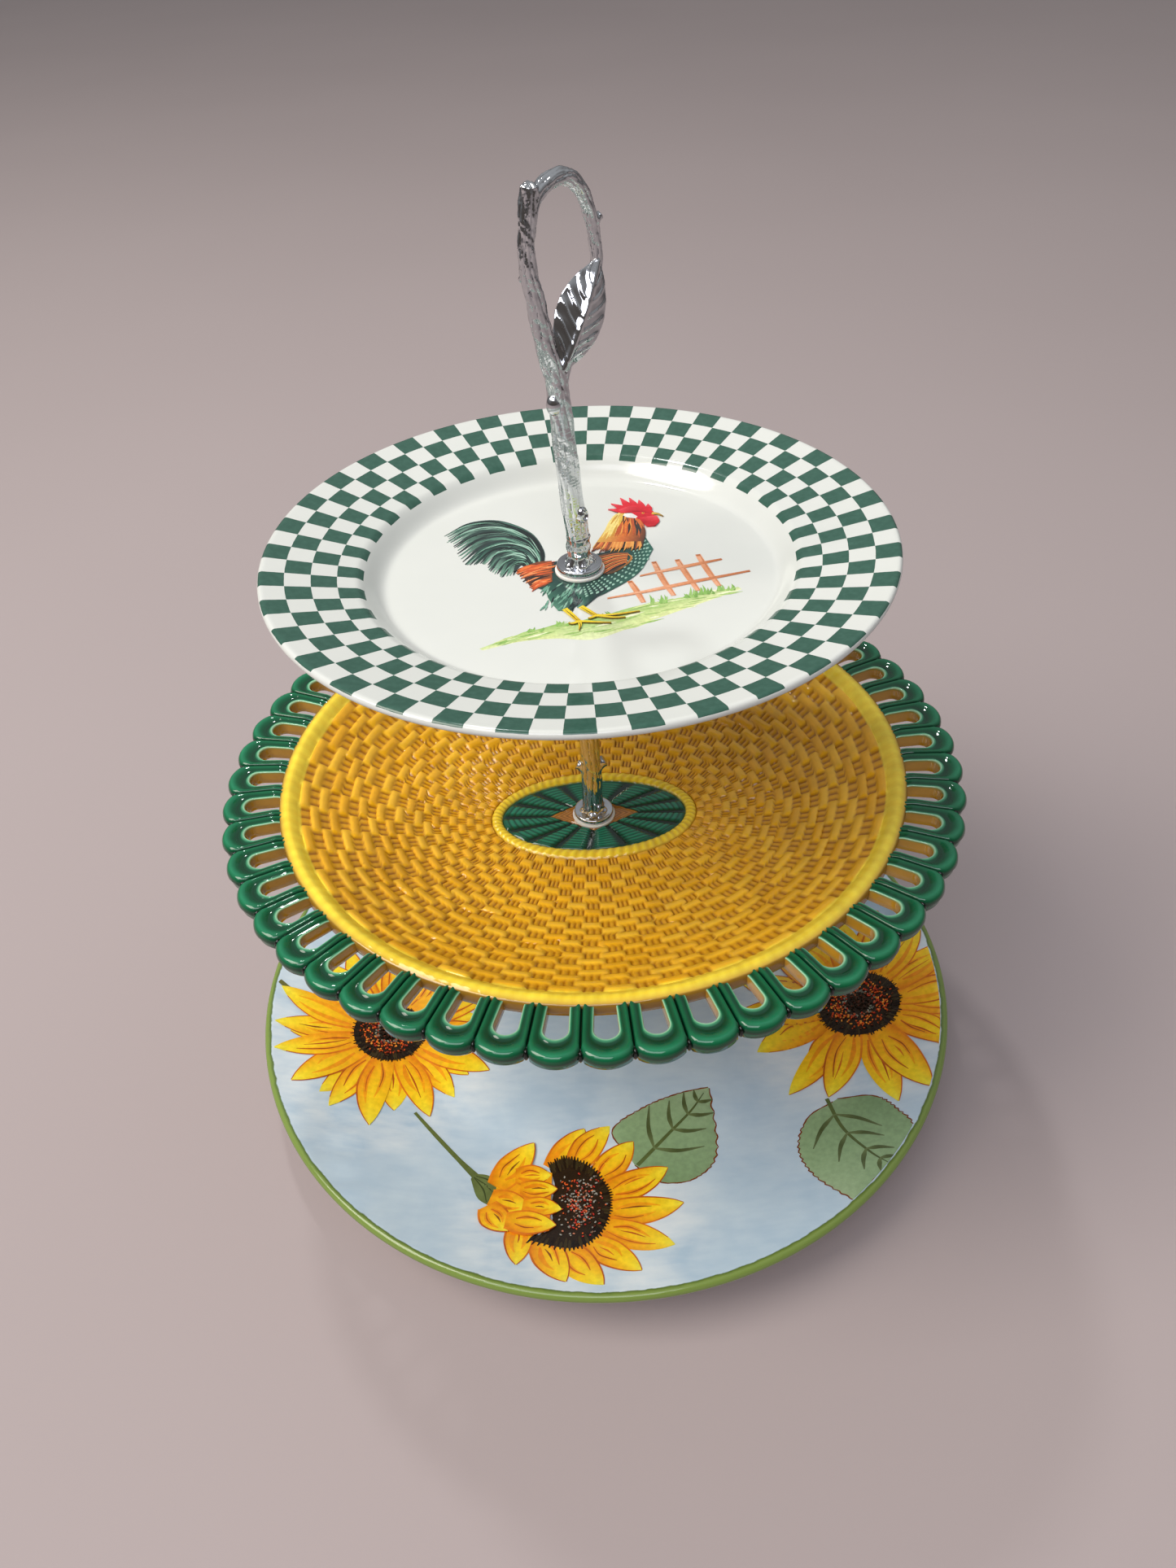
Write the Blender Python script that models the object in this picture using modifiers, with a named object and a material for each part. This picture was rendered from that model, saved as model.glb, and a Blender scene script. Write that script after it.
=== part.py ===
"""Three-tier cake stand: three glazed plates clamped on a chromed, twig-patterned centre column.

Metres, +Z up. The origin is on the table, on the column's axis. The front is towards -Y.
Every clamped face keeps CONTACT_GAP to its neighbour, so no two solids touch.
"""

import math
from dataclasses import dataclass
from typing import Callable

import bmesh
import bpy
from mathutils import Matrix, Vector

# ---------------------------------------------------------------- driving dimensions
CONTACT_GAP = 0.0003          # between faces that are clamped together
MERGE = 0.00001               # merge distance of turned shapes

# thread shared by the studs, the base screw and the bores that take them (M5, pitch 0.8)
STUD_RADIUS = 0.0025
THREAD_CLEARANCE = 0.0002
THREAD_ENGAGEMENT = 0.008     # ten turns
STUD_FIXED_LENGTH = 0.010     # part of a stud that stays in the post's top
BORE_SPARE = 0.001            # bore left beyond the end of the thread

# washers
NYLON_RADIUS = 0.0080
NYLON_THICKNESS = 0.0010
STEEL_RADIUS = 0.0070
STEEL_THICKNESS = 0.0008
WASHER_HOLE_CLEARANCE = 0.0004

# twig posts and handle stem
POST_LENGTH = 0.098
SHAFT_RADIUS = 0.0038
SHAFT_SWELL = 0.0002
FLANGE_RADIUS = 0.0074
FLANGE_THICKNESS = 0.0019
ROOT_FLARE = 0.0006           # how much the shaft widens where it meets its flange
KNOT_REACH = 0.0058           # from the axis to a knot's cut end

# handle
STEM_HEIGHT = 0.0620          # flange face to the fork
STEM_TOP_RADIUS = 0.0031
LOOP_HEIGHT = 0.0530          # fork to the centre line of the loop's top
LOOP_HALF_WIDTH = 0.0135      # axis to the centre line of the loop's side
STRAND_RADIUS = 0.0022
LOOP_YAW = math.radians(45)   # the loop stands askew to the front
LEAF_HALF_WIDTH = 0.0074
LEAF_THICKNESS = 0.0012
LEAF_YAW = math.radians(28)

# base screw (truss head, cross recess)
SCREW_HEAD_RADIUS = 0.0052
SCREW_HEAD_HEIGHT = 0.0022
CROSS_WIDTH = 0.0009
CROSS_LENGTH = 0.0048
CROSS_DEPTH = 0.0012

# openwork border of the middle plate
LOOP_COUNT = 52
BORDER_WIDTH = 0.0235         # scallop tips to the centre line of the rope round the weave
ROPE_BEAD = 0.0024            # half width of the rope
ROPE_WALL = 0.0011            # rope to the slots
LOOP_BAND = 0.0082            # slots' outer ends to the scallop tips
SLOT_INNER_WIDTH = 0.0064
SLOT_OUTER_WIDTH = 0.0074
SCALLOP_DEPTH = 0.0030
BORDER_DROP = 0.0003          # the border's upper face lies this much under the rope's top

# facets
PLATE_STEPS = 52
ROD_STEPS = 16
WASHER_STEPS = 20


@dataclass(frozen=True)
class Plate:
    """A plate's sizes. Heights are measured from its own upper face at the centre."""

    radius: float
    thickness: float          # at the centre
    rim_thickness: float
    hole_radius: float
    foot_radius: float        # outside of the foot ring
    foot_width: float
    foot_height: float        # foot plane to the underside at the centre
    well_radius: float        # flat part of the upper face
    rim_rise: float           # centre to rim, on the upper face


TOP = Plate(
    radius=0.100, thickness=0.0042, rim_thickness=0.0028, hole_radius=0.0040,
    foot_radius=0.058, foot_width=0.0045, foot_height=0.0040, well_radius=0.062,
    rim_rise=0.0130,
)
MIDDLE = Plate(
    radius=0.133, thickness=0.0055, rim_thickness=0.0050, hole_radius=0.0040,
    foot_radius=0.053, foot_width=0.0050, foot_height=0.0045, well_radius=0.034,
    rim_rise=0.0270,
)
BOTTOM = Plate(
    radius=0.1443, thickness=0.0050, rim_thickness=0.0042, hole_radius=0.0040,
    foot_radius=0.086, foot_width=0.0050, foot_height=0.0060, well_radius=0.082,
    rim_rise=0.0180,
)
TOP_SHOULDER_WIDTH = 0.0095   # the top plate's steep shoulder, between its well and its flat rim
TOP_SHOULDER_RISE = 0.0068
MIDDLE_CURVE = 1.7            # power of the middle plate's bowl
BOTTOM_CURVE = 1.5
ROPE_RADIUS = MIDDLE.radius - BORDER_WIDTH

# ---------------------------------------------------------------- heights of the clamped stack
CLAMP_NYLON = NYLON_THICKNESS + CONTACT_GAP
CLAMP_STEEL = STEEL_THICKNESS + CONTACT_GAP


def seat_above(face: float) -> float:
    """Height of the flange that stands on the washer over a plate whose upper face is at face."""
    return face + CONTACT_GAP + CLAMP_NYLON


def plate_face_over(flange: float, plate: Plate) -> float:
    """Upper face of the plate carried by the post whose flange is at flange."""
    shoulder = flange + POST_LENGTH
    return shoulder + CONTACT_GAP + CLAMP_STEEL + CLAMP_NYLON + plate.thickness


BOTTOM_FACE = BOTTOM.foot_height + BOTTOM.thickness
LOWER_FLANGE = seat_above(BOTTOM_FACE)
MIDDLE_FACE = plate_face_over(LOWER_FLANGE, MIDDLE)
UPPER_FLANGE = seat_above(MIDDLE_FACE)
TOP_FACE = plate_face_over(UPPER_FLANGE, TOP)
HANDLE_FLANGE = seat_above(TOP_FACE)
BORE_RADIUS = STUD_RADIUS + THREAD_CLEARANCE
BORE_DEPTH = THREAD_ENGAGEMENT + BORE_SPARE


# ---------------------------------------------------------------- scene and materials
def clear_scene() -> None:
    """Removes every object, so the part stands alone."""
    for obj in list(bpy.data.objects):
        bpy.data.objects.remove(obj, do_unlink=True)


def new_collection(name: str) -> bpy.types.Collection:
    """A collection linked to the scene."""
    made = bpy.data.collections.new(name)
    bpy.context.scene.collection.children.link(made)
    return made


clear_scene()
STAND = new_collection("tiered_cake_stand")
CUTTERS = new_collection("cutters")


def material(name: str, colour: tuple, roughness: float, metallic: float = 0.0):
    """A Principled BSDF material; colour is linear RGB."""
    made = bpy.data.materials.new(name)
    made.use_nodes = True
    shader = made.node_tree.nodes["Principled BSDF"]
    shader.inputs["Base Color"].default_value = (*colour, 1.0)
    shader.inputs["Roughness"].default_value = roughness
    shader.inputs["Metallic"].default_value = metallic
    return made


CHROME = material("chromed_zinc", (0.72, 0.72, 0.73), 0.12, 1.0)
STEEL = material("zinc_plated_steel", (0.62, 0.63, 0.65), 0.30, 1.0)
NYLON = material("white_nylon", (0.86, 0.86, 0.83), 0.45)
PORCELAIN = material("white_porcelain", (0.86, 0.87, 0.85), 0.12)
MAJOLICA = material("amber_majolica", (0.62, 0.31, 0.03), 0.15)
EARTHENWARE = material("sky_blue_earthenware", (0.45, 0.58, 0.70), 0.15)


def finish(obj: bpy.types.Object, look: bpy.types.Material, smooth_degrees: float = 40) -> bpy.types.Object:
    """Gives obj its material and shades its round faces smooth."""
    obj.data.materials.clear()
    obj.data.materials.append(look)
    obj.data.shade_smooth()
    obj.data.set_sharp_from_angle(angle=math.radians(smooth_degrees))
    return obj


# ---------------------------------------------------------------- modelling tools
def object_of(name: str, mesh: bpy.types.Mesh, collection=None) -> bpy.types.Object:
    """An object for a mesh, in the stand's collection unless another is given."""
    obj = bpy.data.objects.new(name, mesh)
    (collection or STAND).objects.link(obj)
    return obj


def turned(name: str, profile: list, steps: int, closed: bool) -> bpy.types.Object:
    """Turns a profile of (radius, height) points about Z. An open profile ends on the axis."""
    work = bmesh.new()
    points = [work.verts.new((r, 0.0, z)) for r, z in profile]
    ends = points[1:] + (points[:1] if closed else [])
    for here, there in zip(points, ends):
        work.edges.new((here, there))
    mesh = bpy.data.meshes.new(name)
    work.to_mesh(mesh)
    work.free()
    obj = object_of(name, mesh)
    screw = obj.modifiers.new("turn", "SCREW")
    screw.angle = math.tau
    screw.steps = screw.render_steps = steps
    screw.use_merge_vertices = True
    screw.merge_threshold = MERGE
    return obj


def baked(obj: bpy.types.Object) -> bpy.types.Object:
    """A mesh object that holds obj as evaluated, with its seams welded; obj is removed."""
    bpy.context.view_layer.update()
    graph = bpy.context.evaluated_depsgraph_get()
    mesh = bpy.data.meshes.new_from_object(obj.evaluated_get(graph))
    work = bmesh.new()
    work.from_mesh(mesh)
    bmesh.ops.remove_doubles(work, verts=work.verts[:], dist=MERGE)
    bmesh.ops.recalc_face_normals(work, faces=work.faces[:])
    work.to_mesh(mesh)
    work.free()
    name, place = obj.name, obj.matrix_world.copy()
    bpy.data.objects.remove(obj, do_unlink=True)
    made = object_of(name, mesh)
    made.matrix_world = place
    return made


def helper(obj: bpy.types.Object) -> bpy.types.Object:
    """Marks obj as a shape that is only joined to, or cut from, another."""
    for owner in obj.users_collection:
        owner.objects.unlink(obj)
    CUTTERS.objects.link(obj)
    obj.hide_render = True
    obj.display_type = "WIRE"
    return obj


def combine(obj: bpy.types.Object, other: bpy.types.Object, operation: str) -> None:
    """Adds an exact Boolean that joins other to obj, or cuts it away."""
    helper(other)
    change = obj.modifiers.new(f"{operation.lower()}_{other.name}", "BOOLEAN")
    change.operation = operation
    change.object = other


def tube(name: str, points: list, radii: list, sides_resolution: int = 2) -> bpy.types.Object:
    """A round bar along points, with its own radius at each point, as a welded mesh."""
    curve = bpy.data.curves.new(name, "CURVE")
    curve.dimensions = "3D"
    curve.bevel_depth = 1.0
    curve.bevel_resolution = sides_resolution
    curve.use_fill_caps = True
    spline = curve.splines.new("POLY")
    spline.points.add(len(points) - 1)
    for point, place, radius in zip(spline.points, points, radii):
        point.co = (*place, 1.0)
        point.radius = radius
    obj = bpy.data.objects.new(name, curve)
    STAND.objects.link(obj)
    return baked(obj)


def arc(centre_r: float, centre_z: float, radius: float, start: float, end: float, count: int) -> list:
    """Points on an arc in the profile plane; angles in degrees, 90 is up."""
    angles = [math.radians(start + (end - start) * i / (count - 1)) for i in range(count)]
    return [(centre_r + radius * math.cos(a), centre_z + radius * math.sin(a)) for a in angles]


def smoothstep(t: float) -> float:
    """0 to 1 with level ends."""
    t = min(max(t, 0.0), 1.0)
    return t * t * (3 - 2 * t)


# ---------------------------------------------------------------- plates
def shouldered_rise(r: float) -> float:
    """The top plate's upper face: flat well, steep shoulder, nearly flat rim."""
    rim_start = TOP.well_radius + TOP_SHOULDER_WIDTH
    if r <= rim_start:
        return TOP_SHOULDER_RISE * smoothstep((r - TOP.well_radius) / TOP_SHOULDER_WIDTH)
    out = (r - rim_start) / (TOP.radius - rim_start)
    return TOP_SHOULDER_RISE + (TOP.rim_rise - TOP_SHOULDER_RISE) * out


def bowl_rise(plate: Plate, rim_radius: float, power: float) -> Callable[[float], float]:
    """A face that is flat to the well's edge and then curves up to the rim."""

    def rise(r: float) -> float:
        out = max(0.0, (r - plate.well_radius) / (rim_radius - plate.well_radius))
        return plate.rim_rise * min(out, 1.0) ** power

    return rise


def plate_profile(plate: Plate, face: float, rim_radius: float, rise: Callable, stations: int) -> list:
    """Closed profile of a plate: along the top, round the rim, back under the foot ring."""
    nose = plate.rim_thickness / 2
    outer = rim_radius - nose
    radii = [
        plate.well_radius + (outer - plate.well_radius) * i / stations for i in range(stations + 1)
    ]

    def under(r: float) -> float:
        share = smoothstep((r - plate.well_radius) / (outer - plate.well_radius))
        thickness = plate.thickness + (plate.rim_thickness - plate.thickness) * share
        return face + rise(r) - thickness

    top = [(plate.hole_radius, face)] + [(r, face + rise(r)) for r in radii]
    rim = arc(outer, face + rise(outer) - nose, nose, 60, -60, 4)
    foot_in = plate.foot_radius - plate.foot_width
    foot_z = face - plate.thickness - plate.foot_height
    edge = plate.foot_width * 0.15
    foot = [
        (plate.foot_radius, under(plate.foot_radius)),
        (plate.foot_radius, foot_z + edge),
        (plate.foot_radius - edge, foot_z),
        (foot_in + edge, foot_z),
        (foot_in, foot_z + edge),
        (foot_in, under(foot_in)),
    ]
    beyond = [(r, under(r)) for r in reversed(radii) if r > plate.foot_radius + edge]
    within = [(r, under(r)) for r in reversed(radii) if plate.hole_radius < r < foot_in - edge]
    return top + rim + beyond + foot + within + [(plate.hole_radius, under(plate.hole_radius))]


def top_plate() -> bpy.types.Object:
    """Porcelain side plate with a drilled centre hole."""
    profile = plate_profile(TOP, TOP_FACE, TOP.radius, shouldered_rise, 7)
    return finish(turned("top_plate", profile, PLATE_STEPS, closed=True), PORCELAIN)


def bottom_plate() -> bpy.types.Object:
    """Large earthenware plate that the stand rests on."""
    rise = bowl_rise(BOTTOM, BOTTOM.radius, BOTTOM_CURVE)
    profile = plate_profile(BOTTOM, BOTTOM_FACE, BOTTOM.radius, rise, 6)
    return finish(turned("bottom_plate", profile, PLATE_STEPS, closed=True), EARTHENWARE)


def border_outline() -> list:
    """Outer edge of the openwork border, one scallop to each loop."""
    points_each = 4
    outline = []
    for i in range(LOOP_COUNT * points_each):
        across = (i % points_each) / points_each * 2 - 1
        bulge = math.cos(across * math.pi / 2) ** 0.7 if abs(across) < 1 else 0.0
        r = MIDDLE.radius - SCALLOP_DEPTH * (1 - bulge)
        a = math.tau * (i / points_each - 0.5) / LOOP_COUNT
        outline.append((r * math.cos(a), r * math.sin(a)))
    return outline


def slot_outline(index: int) -> list:
    """One slot: square against the rope, round at its outer end."""
    end_radius = SLOT_OUTER_WIDTH / 2
    centre = MIDDLE.radius - LOOP_BAND - end_radius
    inner = ROPE_RADIUS + ROPE_BEAD + ROPE_WALL
    corners = [(inner, -SLOT_INNER_WIDTH / 2)]
    corners += [
        (centre + end_radius * math.cos(a), end_radius * math.sin(a))
        for a in (math.radians(d) for d in (-90, -45, 0, 45, 90))
    ]
    corners += [(inner, SLOT_INNER_WIDTH / 2)]
    turn = Matrix.Rotation(math.tau * index / LOOP_COUNT, 2)
    return [tuple(turn @ Vector(c)) for c in corners]


def border(height: float) -> bpy.types.Object:
    """The openwork border as a flat pierced ring whose middle is at height."""
    curve = bpy.data.curves.new("openwork_border", "CURVE")
    curve.dimensions = "2D"
    curve.fill_mode = "BOTH"
    curve.extrude = MIDDLE.rim_thickness / 2
    inside = [
        (ROPE_RADIUS * math.cos(a), ROPE_RADIUS * math.sin(a))
        for a in (math.tau * i / LOOP_COUNT for i in range(LOOP_COUNT))
    ]
    outlines = [border_outline(), inside] + [slot_outline(i) for i in range(LOOP_COUNT)]
    for outline in outlines:
        spline = curve.splines.new("POLY")
        spline.points.add(len(outline) - 1)
        spline.use_cyclic_u = True
        for point, (x, y) in zip(spline.points, outline):
            point.co = (x, y, 0.0, 1.0)
    obj = bpy.data.objects.new("openwork_border", curve)
    STAND.objects.link(obj)
    obj.location.z = height
    return baked(obj)


def middle_plate() -> bpy.types.Object:
    """Majolica dish: a bowl with a rope edge, joined to its openwork border."""
    dish_radius = ROPE_RADIUS + ROPE_BEAD
    rise = bowl_rise(MIDDLE, ROPE_RADIUS, MIDDLE_CURVE)
    profile = plate_profile(MIDDLE, MIDDLE_FACE, dish_radius, rise, 7)
    dish = baked(turned("middle_plate", profile, PLATE_STEPS, closed=True))
    rim_height = MIDDLE_FACE + MIDDLE.rim_rise
    combine(dish, border(rim_height - MIDDLE.rim_thickness / 2 - BORDER_DROP), "UNION")
    return finish(dish, MAJOLICA)


# ---------------------------------------------------------------- washers, studs and the base screw
def washer(name: str, base: float, radius: float, thickness: float, look) -> bpy.types.Object:
    """A flat washer whose lower face is at base."""
    hole = STUD_RADIUS + WASHER_HOLE_CLEARANCE
    top = base + thickness
    profile = [(hole, top), (radius, top), (radius, base), (hole, base)]
    return finish(turned(name, profile, WASHER_STEPS, closed=True), look)


def washers_at(tier: str, plate: Plate, face: float) -> None:
    """The nylon washers over and under one plate, and the steel washer that carries them."""
    underside = face - plate.thickness
    nylon_base = underside - CLAMP_NYLON
    washer(f"nylon_washer_over_{tier}_plate", face + CONTACT_GAP, NYLON_RADIUS, NYLON_THICKNESS, NYLON)
    washer(f"nylon_washer_under_{tier}_plate", nylon_base, NYLON_RADIUS, NYLON_THICKNESS, NYLON)
    washer(f"steel_washer_under_{tier}_plate", nylon_base - CLAMP_STEEL, STEEL_RADIUS, STEEL_THICKNESS, STEEL)


def stud(name: str, shoulder: float, flange_above: float) -> bpy.types.Object:
    """Threaded stud fixed in a post's top, reaching into the flange above."""
    edge = STUD_RADIUS * 0.2
    low = shoulder - STUD_FIXED_LENGTH
    high = flange_above + THREAD_ENGAGEMENT
    profile = [
        (0.0, high),
        (STUD_RADIUS - edge, high),
        (STUD_RADIUS, high - edge),
        (STUD_RADIUS, low + edge),
        (STUD_RADIUS - edge, low),
        (0.0, low),
    ]
    return finish(turned(name, profile, ROD_STEPS, closed=False), STEEL)


def base_screw() -> bpy.types.Object:
    """Truss-head screw that pulls the lower post down on the bottom plate."""
    bearing = BOTTOM.foot_height - CLAMP_NYLON - CLAMP_STEEL - CONTACT_GAP
    tip = LOWER_FLANGE + THREAD_ENGAGEMENT
    edge = STUD_RADIUS * 0.2
    drop = SCREW_HEAD_HEIGHT
    head = [
        (SCREW_HEAD_RADIUS * math.cos(a), bearing - drop * (0.25 + 0.75 * math.sin(a)))
        for a in (math.radians(d) for d in (0, 22, 45, 67))
    ]
    profile = [(0.0, tip), (STUD_RADIUS - edge, tip), (STUD_RADIUS, tip - edge), (STUD_RADIUS, bearing)]
    profile += [(SCREW_HEAD_RADIUS, bearing)] + head + [(0.0, bearing - drop)]
    screw = baked(turned("base_screw", profile, ROD_STEPS, closed=False))
    for turn in (0.0, math.pi / 2):
        bpy.ops.mesh.primitive_cube_add(size=1.0, location=(0.0, 0.0, bearing - drop))
        slot = bpy.context.object
        slot.name = "cross_recess"
        slot.data.transform(Matrix.Diagonal((CROSS_LENGTH, CROSS_WIDTH, 2 * CROSS_DEPTH, 1.0)))
        slot.data.transform(Matrix.Rotation(turn, 4, "Z"))
        combine(screw, slot, "DIFFERENCE")
    return finish(screw, STEEL)


# ---------------------------------------------------------------- twig castings
def flange_and_bore(flange: float) -> list:
    """Lower end of a casting's open profile: flange edge, seating face and threaded bore."""
    edge = FLANGE_THICKNESS * 0.35
    top = flange + FLANGE_THICKNESS
    return [
        (SHAFT_RADIUS + ROOT_FLARE, top + ROOT_FLARE),
        (SHAFT_RADIUS + 2 * ROOT_FLARE, top),
        (FLANGE_RADIUS - edge, top),
        (FLANGE_RADIUS, top - edge),
        (FLANGE_RADIUS, flange + edge),
        (FLANGE_RADIUS - edge / 2, flange),
        (BORE_RADIUS, flange),
        (BORE_RADIUS, flange + BORE_DEPTH),
        (0.0, flange + BORE_DEPTH),
    ]


def shaft_radius(share: float) -> float:
    """Radius of a post a given share of the way up, with a slow swell and waist."""
    return SHAFT_RADIUS + SHAFT_SWELL * math.sin(share * 4.3 * math.pi)


def knot(name: str, centre: Vector, azimuth: float, reach: float, size: float) -> bpy.types.Object:
    """A cut side shoot: a short tapered stub from a shaft's centre line, pointing out and a little up."""
    lift = math.radians(30)
    out = Vector((math.cos(azimuth) * math.cos(lift), math.sin(azimuth) * math.cos(lift), math.sin(lift)))
    ends = [centre + out * reach * t for t in (0.2, 0.75, 0.93, 1.0)]
    return tube(name, ends, [size * 1.25, size, size * 0.95, size * 0.6])


def post(name: str, flange: float, knots: list) -> bpy.types.Object:
    """A twig post: flanged foot with a bore, knotted shaft, and a bored shoulder at the top."""
    shoulder = flange + POST_LENGTH
    bore_floor = shoulder - STUD_FIXED_LENGTH - BORE_SPARE
    edge = SHAFT_RADIUS * 0.1
    shaft = [
        (shaft_radius(share), flange + POST_LENGTH * share)
        for share in (0.95, 0.85, 0.75, 0.65, 0.55, 0.45, 0.35, 0.25, 0.15, 0.06)
    ]
    profile = [(0.0, bore_floor), (BORE_RADIUS, bore_floor), (BORE_RADIUS, shoulder)]
    profile += [(SHAFT_RADIUS - edge, shoulder), (SHAFT_RADIUS, shoulder - edge)]
    profile += shaft + flange_and_bore(flange)
    obj = baked(turned(name, profile, ROD_STEPS, closed=False))
    for i, (height, degrees, size) in enumerate(knots):
        centre = Vector((0.0, 0.0, flange + height))
        stub = knot(f"{name}_knot_{i}", centre, math.radians(degrees), KNOT_REACH, size)
        combine(obj, stub, "UNION")
    return finish(obj, CHROME)


def loop_point(across: float, up: float) -> Vector:
    """A point in the loop's plane: across is a share of its half width, up of its height."""
    u = across * LOOP_HALF_WIDTH
    height = HANDLE_FLANGE + STEM_HEIGHT + up * LOOP_HEIGHT
    return Vector((u * math.cos(LOOP_YAW), u * math.sin(LOOP_YAW), height))


def bent_twig(name: str, keys: list, radii: list) -> bpy.types.Object:
    """A bar on a Catmull-Rom curve through keys, with one radius for each key."""
    ends = [keys[0]] + keys + [keys[-1]]
    path, sizes = [], []
    for i, (a, b, c, d) in enumerate(zip(ends, ends[1:], ends[2:], ends[3:])):
        for t in (0.0, 0.5):
            square = (2 * a - 5 * b + 4 * c - d) * t * t
            cube = (3 * b - a - 3 * c + d) * t**3
            path.append(0.5 * (2 * b + (c - a) * t + square + cube))
            sizes.append(radii[i] * (1 - t) + radii[i + 1] * t)
    return tube(name, path + [keys[-1]], sizes + [radii[-1]])


def branch() -> bpy.types.Object:
    """The stem above its root, which leans into the loop's left side and ends in a cut."""
    root = Vector((0.0, 0.0, HANDLE_FLANGE + BORE_DEPTH + BORE_SPARE))
    stem = [root, loop_point(-0.16, -0.60), loop_point(-0.27, -0.27), loop_point(-0.36, 0.0)]
    side = [loop_point(-0.62, 0.24), loop_point(-0.80, 0.46), loop_point(-0.95, 0.655)]
    cut_end = [loop_point(-0.90, 0.82), loop_point(-0.77, 1.01)]
    middle = (SHAFT_RADIUS + STEM_TOP_RADIUS) / 2
    radii = [SHAFT_RADIUS * 0.96, SHAFT_RADIUS * 0.95, middle, STEM_TOP_RADIUS]
    radii += [STRAND_RADIUS * k for k in (1.25, 1.10, 0.98, 1.0, 1.08)]
    return bent_twig("branch", stem + side + cut_end, radii)


def loop() -> bpy.types.Object:
    """The twig that leaves the branch, arches over and comes down into the fork on the right."""
    shape = [
        (-0.93, 0.74), (-0.70, 0.915), (-0.31, 0.983), (0.12, 1.0), (0.50, 0.945), (0.78, 0.84),
        (0.96, 0.68), (1.0, 0.54), (0.84, 0.41), (0.46, 0.29), (0.02, 0.16), (-0.30, -0.02),
    ]
    shares = (0.9, 1.0, 1.05, 1.05, 1.0, 0.92, 0.85, 0.82, 0.9, 1.0, 1.1, 1.1)
    return bent_twig("loop", [loop_point(*s) for s in shape], [STRAND_RADIUS * k for k in shares])


def leaf() -> bpy.types.Object:
    """The leaf: a pointed blade folded on its midrib, from the fork's front to the loop's right side."""
    length_cells, width_cells = 10, 4
    work = bmesh.new()
    bmesh.ops.create_grid(work, x_segments=width_cells, y_segments=length_cells, size=1.0)
    foot = loop_point(-0.37, 0.08) + Vector((0.63, -0.50, 0.0)) * STEM_TOP_RADIUS
    tip = loop_point(1.0, 0.55) + Vector((0.15, -0.60, 0.0)) * STRAND_RADIUS
    along = tip - foot
    side = Vector((math.cos(LEAF_YAW), math.sin(LEAF_YAW), 0.0))
    side = (side - along * (side @ along) / along.length_squared).normalized()
    front = side.cross(along).normalized()
    for vert in work.verts:
        share = (vert.co.y + 1) / 2
        width = LEAF_HALF_WIDTH * math.sin(math.pi * min(max(share, 0.03), 0.97)) ** 0.8
        across = vert.co.x * width
        arch = 0.0022 * math.sin(math.pi * share)
        fold = 0.40 * abs(across)
        vert.co = foot + along * share + side * across + front * (arch - fold)
    mesh = bpy.data.meshes.new("leaf")
    work.to_mesh(mesh)
    work.free()
    obj = object_of("leaf", mesh)
    skin = obj.modifiers.new("blade", "SOLIDIFY")
    skin.thickness = LEAF_THICKNESS
    skin.offset = 0.0
    return baked(obj)


def handle() -> bpy.types.Object:
    """The lifting handle: flanged root, leaning branch, loop and leaf, all one casting."""
    root_top = HANDLE_FLANGE + BORE_DEPTH + 3 * BORE_SPARE
    crown = [(0.0, root_top + BORE_SPARE), (SHAFT_RADIUS * 0.7, root_top + BORE_SPARE / 2)]
    profile = crown + [(SHAFT_RADIUS, root_top)] + flange_and_bore(HANDLE_FLANGE)
    obj = baked(turned("handle", profile, ROD_STEPS, closed=False))
    combine(obj, branch(), "UNION")
    combine(obj, loop(), "UNION")
    combine(obj, leaf(), "UNION")
    knots = (("low", loop_point(-0.10, -0.80), -15, 0.0024), ("high", loop_point(-0.30, -0.14), 215, 0.0018))
    for side, centre, degrees, size in knots:
        stub = knot(f"handle_knot_{side}", centre, math.radians(degrees), KNOT_REACH * 0.9, size)
        combine(obj, stub, "UNION")
    return finish(obj, CHROME)


def build_stand() -> None:
    """Makes every piece at its place."""
    bottom_plate()
    middle_plate()
    top_plate()
    for tier, plate, face in (
        ("bottom", BOTTOM, BOTTOM_FACE),
        ("middle", MIDDLE, MIDDLE_FACE),
        ("top", TOP, TOP_FACE),
    ):
        washers_at(tier, plate, face)
    post("lower_post", LOWER_FLANGE, [(0.024, 15, 0.0018), (0.021, 185, 0.0015), (0.068, 100, 0.0018)])
    post("upper_post", UPPER_FLANGE, [(0.0215, 10, 0.0019), (0.0205, 172, 0.0015), (0.066, 260, 0.0018)])
    stud("lower_stud", LOWER_FLANGE + POST_LENGTH, UPPER_FLANGE)
    stud("upper_stud", UPPER_FLANGE + POST_LENGTH, HANDLE_FLANGE)
    base_screw()
    handle()


build_stand()
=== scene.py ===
"""A three-tier cake stand: painted plates on chrome branch posts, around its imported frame.

Lengths are millimetres until a mesh is made, and metres from there on.
"""

import logging
import math
import random
from dataclasses import dataclass, field
from enum import Enum
from typing import Callable, Sequence

import bpy
import numpy as np
from mathutils import Matrix, Vector


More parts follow.
